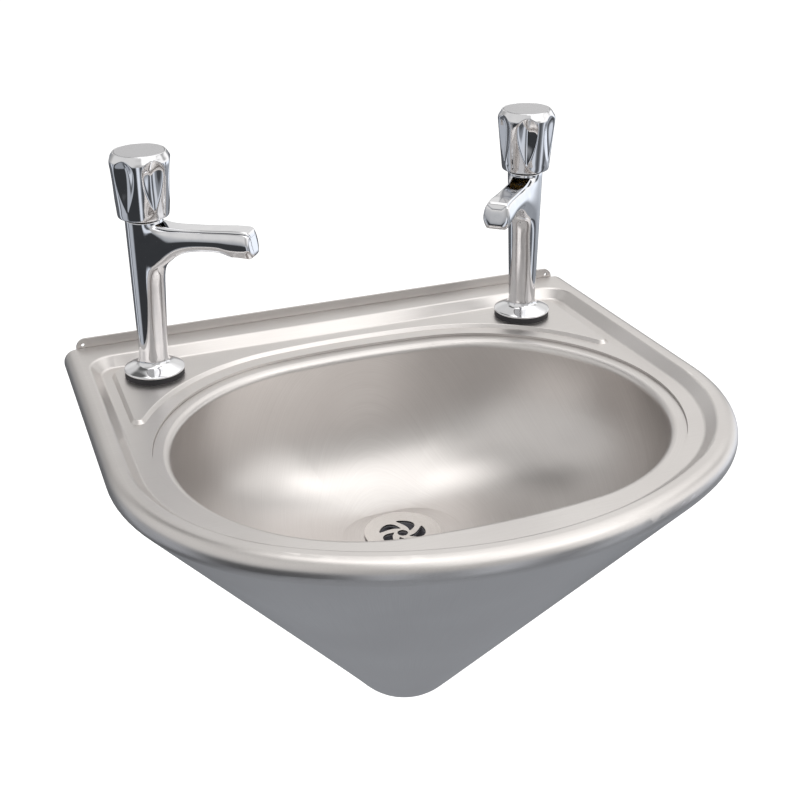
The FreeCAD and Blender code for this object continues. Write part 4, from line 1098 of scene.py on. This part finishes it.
@dataclass
class Studio:
    """Floor, world, lamps and camera."""

    floor_level: float = -0.60
    floor_size: float = 14.0
    floor_tone: float = 0.86
    floor_glow: float = 0.55
    ambient: float = 0.62
    camera_place: tuple[float, float, float] = (-0.3326, -1.0021, 0.4333)
    camera_pitch: float = 20.80
    camera_yaw: float = 21.54
    camera_roll: float = -0.32
    lens: float = 64.035
    sensor_width: float = 36.0
    shift_up: float = -0.1625
    lamps: list[Softbox] = field(default_factory=lambda: [
        Softbox("overhead_softbox", (-0.25, -0.55, 1.55), (1.3, 1.1), 17.0),
        Softbox("left_softbox", (-1.5, -0.5, 0.75), (0.7, 1.0), 8.0),
        Softbox("right_softbox", (1.4, -0.9, 0.9), (0.6, 1.0), 7.0),
    ])
    # What the metal sees from straight down to straight up: sine of the elevation, and level.
    sky: tuple[tuple[float, float], ...] = (
        (-1.0, 0.40), (-0.6, 0.40), (-0.2, 0.36), (0.05, 0.42), (0.3, 0.50), (0.6, 0.60), (0.85, 1.0),
        (1.0, 2.4))
    # The ramp holds the sky's levels divided by this.
    sky_scale: float = 2.0
    low_tint: str = "f0f6ff"
    high_tint: str = "fffefc"
    # The studio's flags and windows, in the order that they are laid.
    broad: tuple[SoftPatch, ...] = tuple(SoftPatch(*row) for row in (
        (-95.0, 55.0, 38.0, 34.0, 0.84, 22.0),
        (-50.0, 42.0, -32.0, 26.0, 0.14, 20.0),
        (15.0, 30.0, -24.0, 16.0, 0.10, 16.0),
        (165.0, 50.0, -34.0, 24.0, 0.30, 20.0),
        (168.0, 26.0, 24.0, 20.0, 0.62, 18.0),
        (25.0, 40.0, 22.0, 14.0, 0.90, 12.0),
    ))
    # Narrow boards round the set, which the chromed taps show as upright streaks and the satin steel blurs.
    streaks: tuple[SoftPatch, ...] = tuple(SoftPatch(*row) for row in (
        (-50.0, 5.0, -22.0, 20.0, 0.85, 5.0),
        (-76.0, 14.0, -22.0, 18.0, 0.58, 5.0),
        (-124.0, 29.0, -24.0, 19.0, 0.05, 5.0),
        (-160.0, 5.0, -22.0, 24.0, 1.00, 5.0),
        (-173.0, 3.5, -20.0, 24.0, 0.08, 4.0),
        (167.0, 8.0, -20.0, 24.0, 0.85, 5.0),
        (146.0, 7.0, -22.0, 24.0, 0.12, 5.0),
        (126.0, 6.0, -20.0, 24.0, 0.95, 5.0),
        (108.0, 6.0, -24.0, 20.0, 0.10, 5.0),
        (40.0, 6.0, -24.0, 18.0, 0.12, 5.0),
    ))
    windows: tuple[SoftPatch, ...] = tuple(SoftPatch(*row) for row in (
        (45.0, 36.0, 56.0, 22.0, 1.45, 18.0),
        (105.0, 36.0, 60.0, 20.0, 1.60, 16.0),
        (76.0, 24.0, 0.0, 18.0, 1.30, 10.0),
        (150.0, 32.0, 52.0, 18.0, 1.60, 14.0),
        (-6.0, 20.0, 44.0, 20.0, 0.75, 12.0),
        (-28.0, 15.0, 54.0, 13.0, 0.15, 10.0),
        (-100.0, 58.0, 65.0, 10.0, 0.60, 12.0),
        (118.0, 30.0, 18.0, 16.0, 1.30, 12.0),
        (128.0, 15.0, 48.0, 12.0, 2.30, 10.0),
    ))

    def build_floor(self) -> None:
        """Makes the pale floor, which shows white to the camera and keeps the shadow."""
        bpy.ops.mesh.primitive_plane_add(size=self.floor_size, location=(0.0, 0.0, self.floor_level))
        floor = bpy.context.object
        floor.name = "floor"
        material, sheet = new_sheet("pale_floor")
        path = sheet.add("ShaderNodeLightPath")
        tone = self.floor_tone
        paint = sheet.add("ShaderNodeBsdfDiffuse", {"Color": (tone, tone, tone, 1.0)})
        glow = sheet.add("ShaderNodeEmission", {"Color": (1.0, 1.0, 1.0, 1.0), "Strength": self.floor_glow})
        both = sheet.add("ShaderNodeAddShader", {0: paint.outputs["BSDF"], 1: glow.outputs["Emission"]})
        seen = sheet.add("ShaderNodeMixShader", {
            0: path.outputs["Is Camera Ray"], 1: paint.outputs["BSDF"], 2: both.outputs["Shader"]})
        sheet.add("ShaderNodeOutputMaterial", {"Surface": seen.outputs["Shader"]})
        floor.data.materials.append(material)
        floor.visible_glossy = False

    def build_world(self) -> None:
        """Makes the world: white to the camera, even as light, and a studio in reflections."""
        world = bpy.data.worlds.new("studio")
        bpy.context.scene.world = world
        world.use_nodes = True
        world.cycles.sampling_method = "NONE"
        sheet = NodeSheet(world.node_tree)
        path = sheet.add("ShaderNodeLightPath")
        direction = sheet.add("ShaderNodeTexCoord").outputs["Generated"]
        parts = sheet.add("ShaderNodeSeparateXYZ", {"Vector": direction})
        rise = sheet.remap(parts.outputs["Z"], (-1.0, 1.0))
        scale = self.sky_scale
        stops = [((sine + 1.0) / 2.0, (level / scale, level / scale, level / scale, 1.0))
                 for sine, level in self.sky]
        studio = sheet.calculate("MULTIPLY", sheet.ramp(rise, stops), scale)
        for patch in self.broad + self.streaks + self.windows:
            studio = patch.lay(sheet, direction, studio)
        tint = sheet.ramp(rise, [(0.42, linear(self.low_tint)), (0.58, linear(self.high_tint))])
        lit = sheet.add("ShaderNodeMix", {
            0: path.outputs["Is Glossy Ray"], 2: self.ambient, 3: studio}, data_type="FLOAT")
        seen = sheet.calculate("MAXIMUM", path.outputs["Is Camera Ray"], path.outputs["Is Transmission Ray"])
        level = sheet.add("ShaderNodeMix", {0: seen, 2: lit.outputs[0], 3: 1.0}, data_type="FLOAT")
        colour = sheet.add("ShaderNodeMix", {
            0: path.outputs["Is Glossy Ray"], 6: (1.0, 1.0, 1.0, 1.0), 7: tint}, data_type="RGBA")
        back = sheet.add("ShaderNodeBackground", {"Color": colour.outputs[2], "Strength": level.outputs[0]})
        sheet.add("ShaderNodeOutputWorld", {"Surface": back.outputs["Background"]})

    def build_camera(self) -> None:
        """Places the camera at the photograph's angle."""
        data = bpy.data.cameras.new("photo_camera")
        data.lens = self.lens
        data.sensor_width = self.sensor_width
        data.shift_y = self.shift_up
        camera = bpy.data.objects.new("photo_camera", data)
        bpy.context.scene.collection.objects.link(camera)
        pitch, yaw, roll = (math.radians(a) for a in (self.camera_pitch, self.camera_yaw, self.camera_roll))
        turn = Matrix.Rotation(-yaw, 3, "Z") @ Matrix.Rotation(math.pi / 2 - pitch, 3, "X")
        camera.rotation_euler = (turn @ Matrix.Rotation(roll, 3, "Z")).to_euler()
        camera.location = self.camera_place
        bpy.context.scene.camera = camera

    def build(self) -> None:
        """Builds the whole set."""
        self.build_camera()
        self.build_world()
        self.build_floor()
        for lamp in self.lamps:
            lamp.build()
        bpy.context.scene.view_settings.view_transform = "Standard"


def main() -> None:
    """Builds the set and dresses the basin."""
    logging.basicConfig(level=logging.INFO, format="%(name)s: %(message)s")
    Studio().build()
    LOG.info("studio built")
    dresser = Dresser()
    dresser.dress_nodes()
    LOG.info("%d nodes dressed", len(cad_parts))
    TapCasting().build(dresser, TAP_SITES)
    Grip().build(dresser, TAP_SITES)
    WasteFitting().build(dresser)


if __name__ == "__main__":
    main()
